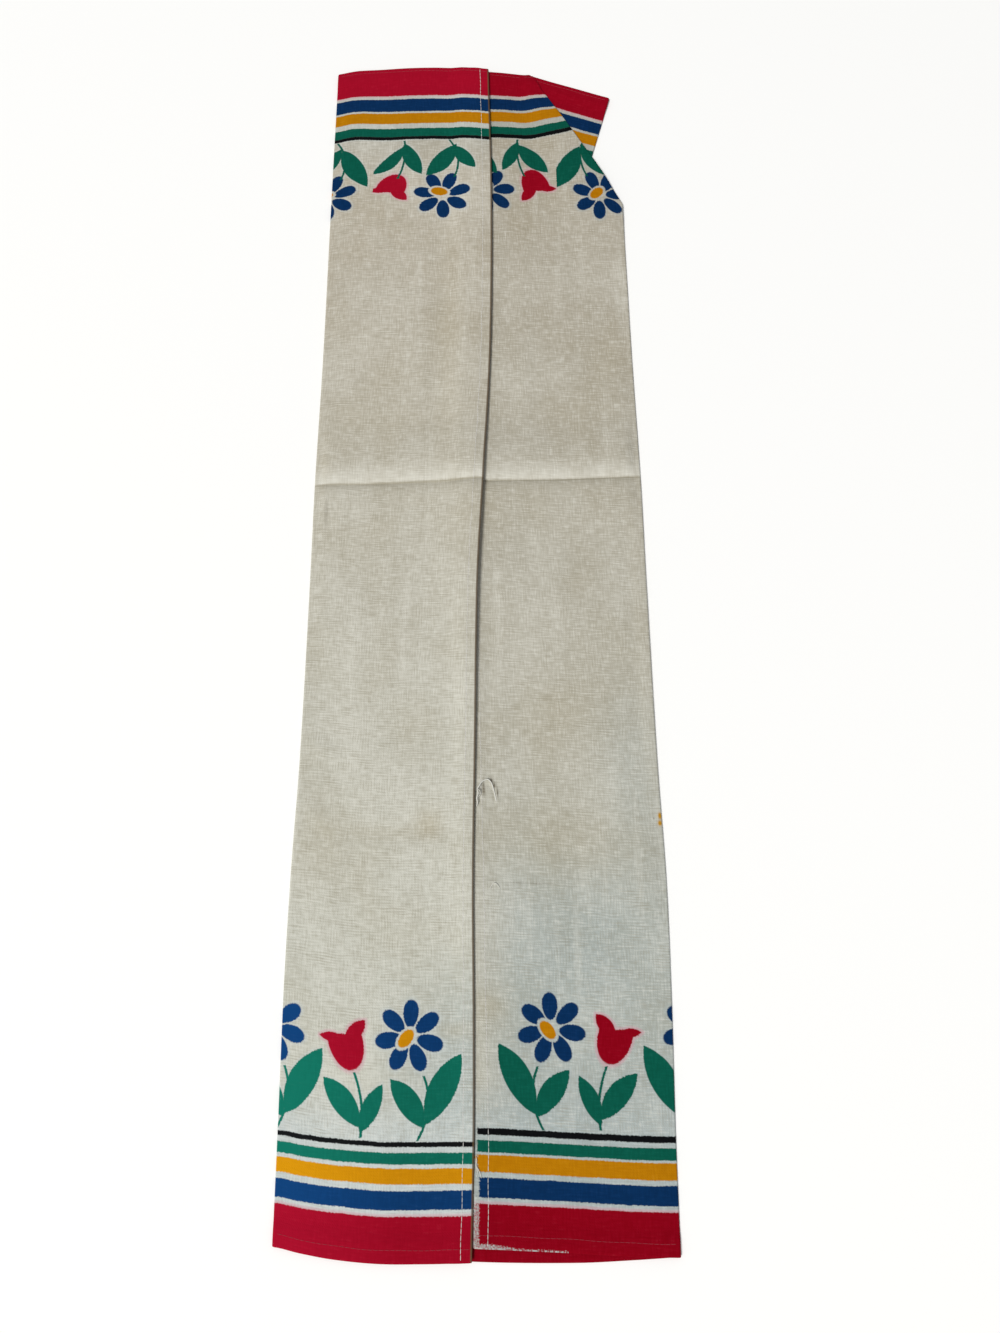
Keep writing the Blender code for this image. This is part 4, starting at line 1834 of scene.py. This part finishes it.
class TowelCloth:
    """The towel itself: one closed sheet with turned hems, folded."""

    NAME = "towel_cloth"
    MERGE_DISTANCE = 1e-7
    CREASE_REACH = 0.10
    CREASE_HALF_WIDTH = 0.012
    CREASE_OFFSETS = (-0.0030, -0.0012, -0.0004, 0.0, 0.0004, 0.0012, 0.0030)
    PLEAT_START = 0.255
    PUCKER_AREA = (0.013, 0.014)
    BEND_FLATS = 8
    RIM_RINGS = 3
    SPOT_STEPS = 12
    BAKE_GAP = 0.004
    REVERSE_SHARE = 0.8

    def __init__(self, form: FoldedForm) -> None:
        """Keep the form that gives the cloth its shape."""
        self.form = form
        self.cut = form.cut

    def build(self) -> bpy.types.Object:
        """Make the cloth's mesh and dress it.

        Returns:
            The cloth.
        """
        flat = self._flat_sheet()
        mesh = self._closed_mesh(flat)
        flat.free()
        cloth = stand(self.NAME, mesh)
        creases = [self._crease_line(panel) for panel in (Panel.LEFT_FLAP, Panel.RIGHT_FLAP)]
        for side in ClothSide:
            mesh.materials.append(Linen(side).material(self.cut, creases))
        return cloth

    def _crease_line(self, panel: Panel) -> CreaseLine:
        """Find where the pressed crease lies in one flap of the flat cloth.

        Args:
            panel: The flap.

        Returns:
            The line.
        """
        start, end = self._crease_spots(panel, 0.0)
        slope = (end[1] - start[1]) / (end[0] - start[0])
        return CreaseLine(start[1] - slope * start[0], slope)

    def _crease_spots(self, panel: Panel, offset: float) -> list[tuple[float, float]]:
        """Find two places on a line beside the pressed crease, in one flap of the flat cloth.

        Args:
            panel: The flap.
            offset: How far past the crease the line lies.

        Returns:
            Their places across and along.
        """
        crease = self.form.crease
        ends = (-self.CREASE_REACH, 0.0) if panel is Panel.LEFT_FLAP else (0.0, self.CREASE_REACH)
        return [self._spot(x, crease.place + crease.slant * x + offset, panel) for x in ends]

    def _flat_sheet(self) -> bmesh.types.BMesh:
        """Lay out the print side as a flat grid, scored along the crease and the pleat.

        Returns:
            The grid, in triangles.
        """
        sheet = bmesh.new()
        across, along = divide(ACROSS_SPANS), divide(ALONG_SPANS)
        rows = [[sheet.verts.new((a, l, 0.0)) for a in across] for l in along]
        for low, high in zip(rows, rows[1:]):
            for i in range(len(across) - 1):
                sheet.faces.new((low[i], low[i + 1], high[i + 1], high[i]))
        self._score_crease(sheet)
        self._score_pleat(sheet)
        self._refine_pucker(sheet)
        bmesh.ops.triangulate(sheet, faces=sheet.faces)
        sheet.verts.index_update()
        return sheet

    def _spot(self, x: float, y: float, panel: Panel) -> tuple[float, float]:
        """Find a place on the flat cloth.

        Args:
            x: The place across the towel.
            y: The place along it.
            panel: The layer that it is looked for in.

        Returns:
            Its places across and along.
        """
        cut, form = self.cut, self.form
        bounds = {"left_edge": 0.0, "left_fold": cut.left_fold,
                  "right_fold": cut.right_fold, "right_edge": cut.width}
        low, high = (bounds[column] for column in panel.value)
        along, across = y, (low + high) / 2
        for _ in range(self.SPOT_STEPS):
            near, far = form.end_hems(across)
            along = ((y - near) / (far - near) - 0.5) * cut.length
            start, end = (form.sections.read(column, along) for column in panel.value)
            across = between(low, high, (x - start) / (end - start))
        return float(across), float(along)

    def _score(self, sheet: bmesh.types.BMesh, start: tuple[float, float],
               end: tuple[float, float], inside: Callable[[Vector], bool]) -> None:
        """Score the flat cloth along a straight line.

        Args:
            sheet: The flat cloth.
            start: A place on the line.
            end: Another.
            inside: Says whether a face with its middle there is scored.
        """
        faces = [face for face in sheet.faces if inside(face.calc_center_median())]
        chosen = set(faces)
        edges = [edge for edge in sheet.edges if not chosen.isdisjoint(edge.link_faces)]
        verts = [vert for vert in sheet.verts if not chosen.isdisjoint(vert.link_faces)]
        side = (end[1] - start[1], start[0] - end[0], 0.0)
        bmesh.ops.bisect_plane(sheet, geom=faces + edges + verts, dist=self.MERGE_DISTANCE,
                               plane_co=(start[0], start[1], 0.0), plane_no=side)

    def _score_crease(self, sheet: bmesh.types.BMesh) -> None:
        """Score both flaps along the pressed crease.

        Args:
            sheet: The flat cloth.
        """
        place, cut = self.form.crease.place, self.cut

        def on_left(middle: Vector) -> bool:
            """Whether a place is on the left flap, by the crease."""
            return middle.x < cut.left_fold and abs(middle.y - place) < self.CREASE_HALF_WIDTH

        def on_right(middle: Vector) -> bool:
            """Whether a place is on the right flap, by the crease."""
            return middle.x > cut.right_fold and abs(middle.y - place) < self.CREASE_HALF_WIDTH

        for offset in self.CREASE_OFFSETS:
            for panel, inside in ((Panel.LEFT_FLAP, on_left), (Panel.RIGHT_FLAP, on_right)):
                spots = self._crease_spots(panel, offset)
                self._score(sheet, spots[0], spots[1], inside)

    def _score_pleat(self, sheet: bmesh.types.BMesh) -> None:
        """Score the back and the right flap along both bends of the pleated corner.

        Args:
            sheet: The flat cloth.
        """
        pleat, cut = self.form.pleat, self.cut

        def on_back(middle: Vector) -> bool:
            """Whether a place is on the back, by the pleat."""
            return cut.left_fold < middle.x < cut.right_fold and middle.y > self.PLEAT_START

        def on_flap(middle: Vector) -> bool:
            """Whether a place is on the right flap, by the pleat."""
            return middle.x > cut.right_fold and middle.y > self.PLEAT_START

        bend = math.pi * (pleat.stack + pleat.gap) / 2
        for panel, inside in ((Panel.BACK, on_back), (Panel.RIGHT_FLAP, on_flap)):
            for heading in (pleat.heading, pleat.heading + pleat.turn / 2):
                cos, sin = math.cos(heading), math.sin(heading)
                for flat in range(self.BEND_FLATS + 1):
                    offset = bend * (flat / self.BEND_FLATS - 0.5)
                    x, y = pleat.tip_x - offset * sin, pleat.tip_y + offset * cos
                    spots = [self._spot(x + reach * cos, y + reach * sin, panel)
                             for reach in (0.0, pleat.wedge_reach)]
                    self._score(sheet, spots[0], spots[1], inside)

    def _refine_pucker(self, sheet: bmesh.types.BMesh) -> None:
        """Divide the cloth more finely round the arch at the pulled thread.

        Args:
            sheet: The flat cloth.
        """
        pucker = self.form.pucker
        across, along = self._spot(pucker.x, pucker.y + pucker.height_along / 2, Panel.RIGHT_FLAP)
        half_width, half_length = self.PUCKER_AREA
        edges = [edge for edge in sheet.edges
                 if all(abs(vert.co.x - across) < half_width
                        and abs(vert.co.y - along) < half_length for vert in edge.verts)]
        bmesh.ops.subdivide_edges(sheet, edges=edges, cuts=3, use_grid_fill=True)

    def _closed_mesh(self, sheet: bmesh.types.BMesh) -> bpy.types.Mesh:
        """Make the folded cloth, closed all round, from its flat print side.

        Args:
            sheet: The flat print side, in triangles.

        Returns:
            The folded mesh.
        """
        flat = np.array([vert.co for vert in sheet.verts])
        across, along = flat[:, 0], flat[:, 1]
        count = len(flat)
        thick = self.cut.thickness_at(across, along)
        rim = self._rim(sheet)
        rim_flat = flat[rim]
        outwards = self._rim_outwards(rim_flat)
        rim_thick = thick[rim]

        sides = [(across, along, np.zeros(count)), (across, along, thick)]
        for ring in range(1, self.RIM_RINGS + 1):
            angle = math.pi * ring / (self.RIM_RINGS + 1)
            bulge = rim_thick / 2 * math.sin(angle)
            sides.append((rim_flat[:, 0] + outwards[:, 0] * bulge,
                          rim_flat[:, 1] + outwards[:, 1] * bulge,
                          rim_thick / 2 * (1 - math.cos(angle))))
        points = np.vstack([self.form.place(*side) for side in sides])

        faces = [tuple(vert.index for vert in face.verts) for face in sheet.faces]
        uv = [[(across[i], along[i]) for i in face] for face in faces]
        kinds = [0] * len(faces)
        faces += [tuple(i + count for i in reversed(face)) for face in faces]
        uv += [list(reversed(corners)) for corners in uv]
        kinds += [1] * len(kinds)
        rings = [rim] + [[2 * count + ring * len(rim) + i for i in range(len(rim))]
                         for ring in range(self.RIM_RINGS)] + [[i + count for i in rim]]
        for ring, (above, below) in enumerate(zip(rings, rings[1:])):
            for i in range(len(rim)):
                j = (i + 1) % len(rim)
                faces.append((above[j], above[i], below[i], below[j]))
                places = [tuple(rim_flat[k, :2]) for k in (j, i, i, j)]
                uv.append(places)
                kinds.append(0)
        mesh = bpy.data.meshes.new(self.NAME)
        mesh.from_pydata(points.tolist(), [], faces)
        mesh.update()
        self._map_cloth(mesh, uv)
        self._map_bake(mesh, uv, kinds, len(rim))
        mesh.polygons.foreach_set("material_index", kinds)
        mesh.shade_smooth()
        mesh.validate()
        return mesh

    @staticmethod
    def _rim(sheet: bmesh.types.BMesh) -> list[int]:
        """Go round the sheet's edge, with the cloth on the left.

        Args:
            sheet: The flat cloth.

        Returns:
            The vertices passed, in order.
        """
        follows = {}
        for edge in sheet.edges:
            if len(edge.link_loops) == 1:
                loop = edge.link_loops[0]
                follows[loop.vert.index] = loop.link_loop_next.vert.index
        first = min(follows)
        rim = [first]
        while follows[rim[-1]] != first:
            rim.append(follows[rim[-1]])
        return rim

    def _rim_outwards(self, places: Array) -> Array:
        """Find which way is out of the cloth at its rim.

        Args:
            places: Places across and along, one to a row.

        Returns:
            A direction for each.
        """
        out = np.zeros((len(places), 2))
        out[:, 0] -= places[:, 0] < self.MERGE_DISTANCE
        out[:, 0] += places[:, 0] > self.cut.width - self.MERGE_DISTANCE
        out[:, 1] -= places[:, 1] < -self.cut.length / 2 + self.MERGE_DISTANCE
        out[:, 1] += places[:, 1] > self.cut.length / 2 - self.MERGE_DISTANCE
        return out / np.maximum(np.hypot(out[:, 0], out[:, 1]), 1.0)[:, None]

    @staticmethod
    def _map_cloth(mesh: bpy.types.Mesh, uv: list) -> None:
        """Store each corner's place on the flat cloth, in metres."""
        layer = mesh.uv_layers.new(name=ClothTree.MAP)
        layer.data.foreach_set("uv", np.array([c for face in uv for c in face]).ravel())

    def _map_bake(self, mesh: bpy.types.Mesh, uv: list, kinds: list[int], rim: int) -> None:
        """Lay print side and reverse side by side in a map from 0 to 1.

        Args:
            mesh: The folded mesh.
            uv: Each face's corners on the flat cloth.
            kinds: Each face's side: 0 for the print side and the rim, 1 for the reverse.
            rim: How many vertices go round the rim.
        """
        layer = mesh.uv_layers.new(name="OFBake")
        corners = []
        sides = len(uv) - (self.RIM_RINGS + 1) * rim
        margin = self.BAKE_GAP * 2
        height = self.cut.length + 2 * margin
        right = self.cut.width + 2 * margin
        wide = right + self.cut.width * self.REVERSE_SHARE + margin
        for index, (face, kind) in enumerate(zip(uv, kinds)):
            for k, (across, along) in enumerate(face):
                u, v = across, along + self.cut.length / 2
                if kind == 1:
                    u = right - margin + across * self.REVERSE_SHARE
                elif index >= sides:
                    ring = (index - sides) // rim + (1 if k >= 2 else 0)
                    out = self._rim_outwards(np.array([[across, along]]))[0]
                    u += out[0] * ring * self.BAKE_GAP / 4
                    v += out[1] * ring * self.BAKE_GAP / 4
                corners.append(((u + margin) / wide, (v + margin) / height))
        layer.data.foreach_set("uv", np.array(corners).ravel())


# --- Threads ---


class Tubes:
    """Gathers thin tubes into one mesh."""

    SIDES = 6
    END_SHARE = 0.45

    def __init__(self) -> None:
        """Start with none."""
        self.points: list = []
        self.faces: list = []

    def add(self, path: Array, radius: float, out: tuple[float, float, float]) -> None:
        """Add one tube with rounded-off ends.

        Args:
            path: The points that it follows, one to a row.
            radius: Its radius.
            out: A direction that is never along the path.
        """
        steps = np.gradient(path, axis=0)
        steps /= np.linalg.norm(steps, axis=1)[:, None]
        side = np.cross(steps, out)
        side /= np.linalg.norm(side, axis=1)[:, None]
        up = np.cross(side, steps)
        base, last = len(self.points), len(path) - 1
        for i, centre in enumerate(path):
            size = radius * (self.END_SHARE if i in (0, last) else 1.0)
            for k in range(self.SIDES):
                angle = 2 * math.pi * k / self.SIDES
                self.points.append(tuple(
                    centre + size * (side[i] * math.cos(angle) + up[i] * math.sin(angle))))
        for i in range(last):
            low, high = base + i * self.SIDES, base + (i + 1) * self.SIDES
            for k in range(self.SIDES):
                j = (k + 1) % self.SIDES
                self.faces.append((low + k, low + j, high + j, high + k))
        self.faces.append(tuple(base + k for k in reversed(range(self.SIDES))))
        self.faces.append(tuple(base + last * self.SIDES + k for k in range(self.SIDES)))

    def make(self, name: str, material: bpy.types.Material) -> bpy.types.Object:
        """Make one object of all the tubes.

        Args:
            name: The object's name.
            material: What it is made of.

        Returns:
            The object.
        """
        mesh = bpy.data.meshes.new(name)
        mesh.from_pydata(self.points, [], self.faces)
        mesh.materials.append(material)
        mesh.shade_smooth()
        return stand(name, mesh)


class Seam(NamedTuple):
    """A straight line of stitches in the flat cloth, on its print side or its reverse."""

    start_across: float
    start_along: float
    end_across: float
    end_along: float
    on_reverse: bool


@dataclass(frozen=True)
class HemStitching:
    """The lockstitch lines that hold the four hems."""

    form: FoldedForm
    left_hem: float = 0.0056
    right_hem: float = 0.0073
    near_hem: float = 0.0061
    far_hem: float = 0.0026
    stitch: float = 0.0029
    gap: float = 0.0001
    side_radius: float = 0.00016
    end_radius: float = 0.00011
    sway: float = 0.00014
    sunk_share: float = 0.2
    upwards: tuple[float, float, float] = (0.02, 0.03, 1.0)
    path_points: int = 5

    def side_seams(self) -> list[Seam]:
        """Lay out the lines of stitches along the two long edges.

        Returns:
            The lines, left and right.
        """
        width, end = self.form.cut.width, self.form.cut.length / 2 - 0.001
        return [Seam(self.left_hem, -end, self.left_hem, end, False),
                Seam(width - self.right_hem, -end, width - self.right_hem, end, False)]

    def end_seams(self) -> list[Seam]:
        """Lay out the lines of stitches along the two ends.

        Returns:
            The lines, panel by panel.
        """
        cut = self.form.cut
        left, right = cut.left_fold - 0.003, cut.right_fold + 0.003
        seams = []
        for place in (self.near_hem - cut.length / 2, cut.length / 2 - self.far_hem):
            seams.append(Seam(0.001, place, left, place, False))
            seams.append(Seam(left + 0.006, place, right - 0.006, place, True))
            seams.append(Seam(right, place, cut.width - 0.001, place, False))
        return seams

    def build(self) -> list[bpy.types.Object]:
        """Make the stitches of the long edges as one piece and of the ends as another.

        Returns:
            Both pieces.
        """
        white = Thread("white_thread", (0.82, 0.80, 0.77, 1.0)).material()
        red = Thread("red_thread", (0.40, 0.035, 0.060, 1.0)).material()
        return [self._sew("side_stitching", self.side_seams(), self.side_radius, white),
                self._sew("end_stitching", self.end_seams(), self.end_radius, red)]

    def _sew(self, name: str, seams: Sequence[Seam], radius: float,
             thread: bpy.types.Material) -> bpy.types.Object:
        """Sew some lines of stitches as one piece.

        Args:
            name: The piece's name.
            seams: The lines.
            radius: The thread's radius.
            thread: What it is made of.

        Returns:
            The piece.
        """
        tubes = Tubes()
        for number, seam in enumerate(seams):
            length = math.hypot(seam.end_across - seam.start_across,
                                seam.end_along - seam.start_along)
            count = int(length / (self.stitch + self.gap))
            for i in range(count):
                wobble = self.sway * math.sin(0.61 * i + 1.7 * number)
                self._stitch(tubes, seam, (i / count, self.stitch / length), wobble, radius)
        return tubes.make(name, thread)

    def _stitch(self, tubes: Tubes, seam: Seam, share: tuple[float, float], wobble: float,
                radius: float) -> None:
        """Lay one stitch.

        Args:
            tubes: Where it is gathered.
            seam: The line that it is part of.
            share: How far along the line it starts, and how much of the line it takes.
            wobble: How far it strays sideways.
            radius: The thread's radius.
        """
        steps = np.linspace(0.0, 1.0, self.path_points)
        along_line = share[0] + share[1] * steps
        across = seam.start_across + (seam.end_across - seam.start_across) * along_line
        along = seam.start_along + (seam.end_along - seam.start_along) * along_line
        upright = abs(seam.end_along - seam.start_along) > abs(seam.end_across - seam.start_across)
        across = across + (wobble if upright else 0.0)
        along = along + (0.0 if upright else wobble)
        height = radius * (np.sin(math.pi * steps) - self.sunk_share)
        if seam.on_reverse:
            depth = self.form.cut.thickness_at(across, along) + height
        else:
            depth = -height
        tubes.add(self.form.place(across, along, depth), radius, self.upwards)


class Strand(NamedTuple):
    """A loose thread: points in millimetres on the towel, with heights above it."""

    points: tuple[tuple[float, float, float], ...]
    radius: float


LOOSE_STRANDS = (
    Strand(((-1.2, -152.4, 0.4), (-0.7, -150.2, 1.5), (-1.1, -147.6, 1.9), (-0.3, -145.0, 2.1),
            (-0.9, -142.6, 1.7), (0.3, -140.4, 1.5), (1.7, -138.2, 1.3), (3.6, -136.9, 1.2),
            (5.4, -136.6, 1.1), (7.4, -138.6, 1.1), (8.6, -142.0, 1.0), (9.6, -146.0, 0.8),
            (10.4, -149.6, 0.2)), 0.31),
    Strand(((-0.6, -147.0, 1.2), (0.8, -145.6, 1.6), (0.6, -143.4, 1.9), (-0.7, -142.4, 1.4)), 0.18),
    Strand(((6.7, -200.4, 0.1), (7.5, -198.2, 0.6), (9.2, -196.4, 0.8), (11.2, -197.6, 0.6),
            (12.5, -200.0, 0.1)), 0.17),
    Strand(((-0.4, -340.0, 0.4), (0.1, -342.0, 0.8), (-0.3, -344.4, 0.9), (0.9, -346.4, 0.8),
            (2.0, -348.4, 0.6), (2.5, -350.6, 0.3)), 0.18),
    Strand(((-0.5, -345.0, 0.5), (0.6, -347.6, 0.8), (-0.2, -350.0, 0.5)), 0.13),
)


class Fray(NamedTuple):
    """A short thread that sticks out of the worn near corner of the right flap."""

    across: float
    along: float
    out: float
    lean: float


@dataclass(frozen=True)
class LooseThreads:
    """The pulled thread at the arch and the frayed ones at the near corner."""

    form: FoldedForm
    curve_steps: int = 5
    frays: int = 46
    fray_points: int = 4
    fray_radius: float = 0.00011
    fray_depth: float = 0.0002
    fray_droop: float = 0.0003
    fray_overhang: float = 0.0012
    fray_span: tuple[float, float] = (-0.386, -0.346)
    fray_inset: float = 0.0008
    fray_reach: tuple[float, float] = (0.0004, 0.0011)
    fray_lean: float = 0.0008
    upwards: tuple[float, float, float] = (0.1, 0.2, 1.0)

    def build(self) -> bpy.types.Object:
        """Make the loose threads as one piece.

        Returns:
            The threads.
        """
        tubes = Tubes()
        for strand in LOOSE_STRANDS:
            tubes.add(self._on_flap(strand), strand.radius * MILLIMETRE, self.upwards)
        steps = np.linspace(0.0, 1.0, self.fray_points)
        furthest = self.form.cut.width + self.fray_overhang
        for fray in self._frays():
            across = np.minimum(fray.across + fray.out * steps, furthest)
            along = fray.along + fray.lean * steps * steps
            path = self.form.place(across, along, self.fray_depth + self.fray_droop * steps)
            tubes.add(path, self.fray_radius, self.upwards)
        thread = Thread("bare_linen_thread", (0.84, 0.83, 0.77, 1.0)).material()
        return tubes.make("loose_threads", thread)

    def _on_flap(self, strand: Strand) -> Array:
        """Lay a strand's points over the right flap, on a smooth curve.

        Args:
            strand: The strand.

        Returns:
            The curve's points.
        """
        points = np.array(strand.points) * MILLIMETRE
        places = np.linspace(0.0, len(points) - 1.0, self.curve_steps * len(points))
        low = np.minimum(places.astype(int), len(points) - 2)
        slopes = np.gradient(points, axis=0)
        share = (places - low)[:, None]
        curve = cubic(points[low], points[low + 1], slopes[low], slopes[low + 1], share)
        top = 2 * self.form.cut.thickness + self.form.flap_opening(
            curve[:, 0], curve[:, 1], right=True)
        curve[:, 2] += top
        return curve

    def _frays(self) -> list[Fray]:
        """Spread short threads along the bare corner, by a fixed seed.

        Returns:
            The threads.
        """
        chance = np.random.default_rng(20)
        frays = []
        for _ in range(self.frays):
            along = chance.uniform(*self.fray_span)
            across = self.form.cut.width - chance.uniform(0.0, self.fray_inset)
            out = chance.uniform(*self.fray_reach)
            frays.append(Fray(across, along, out, chance.uniform(-self.fray_lean, self.fray_lean)))
        return frays


# --- Floor, light and camera ---


@dataclass(frozen=True)
class Studio:
    """A plain pale floor under soft light, seen from steeply above the near end."""

    floor_size: float = 8.0
    floor_drop: float = 0.00005
    floor_colour: Colour = (0.955, 0.955, 0.950, 1.0)
    sky_colour: Colour = (0.95, 0.97, 1.0, 1.0)
    sky_strength: float = 0.36
    key_place: tuple[float, float, float] = (-6.5, -6.5, 14.5)
    key_target: tuple[float, float, float] = (0.0, -0.05, 0.0)
    key_size: float = 5.6
    key_power: float = 2490.0
    key_colour: tuple[float, float, float] = (1.0, 0.985, 0.95)
    camera_place: tuple[float, float, float] = (0.0125, -0.2346, 0.591)
    camera_pitch: float = math.radians(15.92)
    lens: float = 27.03

    def build(self) -> None:
        """Lay the floor, hang the lights and set the camera."""
        self._lay_floor()
        self._light()
        self._set_camera()
        bpy.context.scene.view_settings.view_transform = "Standard"

    def _lay_floor(self) -> None:
        """A wide matt floor, just under the towel."""
        mesh = bpy.data.meshes.new("floor")
        half = self.floor_size / 2
        corners = [(-half, -half), (half, -half), (half, half), (-half, half)]
        mesh.from_pydata([(x, y, -self.floor_drop) for x, y in corners], [], [(0, 1, 2, 3)])
        material, shader = new_material("pale_floor")
        shader.inputs["Base Color"].default_value = self.floor_colour
        shader.inputs["Roughness"].default_value = 0.9
        mesh.materials.append(material)
        stand("floor", mesh)

    def _light(self) -> None:
        """A pale sky all round and one soft lamp at the near left."""
        world = bpy.data.worlds.new("studio")
        world.use_nodes = True
        sky = world.node_tree.nodes["Background"]
        sky.inputs["Color"].default_value = self.sky_colour
        sky.inputs["Strength"].default_value = self.sky_strength
        bpy.context.scene.world = world
        lamp = bpy.data.lights.new("key", "AREA")
        lamp.shape = "DISK"
        lamp.size = self.key_size
        lamp.energy = self.key_power
        lamp.color = self.key_colour
        key = stand("key", lamp)
        key.location = self.key_place
        towards = Vector(self.key_target) - Vector(self.key_place)
        key.rotation_euler = towards.to_track_quat("-Z", "Y").to_euler()

    def _set_camera(self) -> None:
        """The camera, looking steeply down and away from the near end."""
        data = bpy.data.cameras.new("camera")
        data.lens = self.lens
        data.clip_start = 0.01
        camera = stand("camera", data)
        camera.location = self.camera_place
        camera.rotation_euler = (self.camera_pitch, 0.0, 0.0)
        bpy.context.scene.camera = camera


def ride_towel(piece: bpy.types.Object) -> None:
    """Put a piece on the towel's body.

    Args:
        piece: The piece.
    """
    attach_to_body(piece, BODY)
    LOG.info("%s: %d faces", piece.name, len(piece.data.polygons))


def main() -> None:
    """Build the towel's pieces in order, then the studio round them."""
    logging.basicConfig(level=logging.INFO, format="%(name)s %(message)s")
    form = FoldedForm(Cut(), Crease(), Pleat(), Pucker())
    cloth = TowelCloth(form).build()
    ride_towel(cloth)
    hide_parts(NODE)
    threads = HemStitching(form).build() + [LooseThreads(form).build()]
    for piece in threads:
        ride_towel(piece)
    Studio().build()


if __name__ == "__main__":
    main()
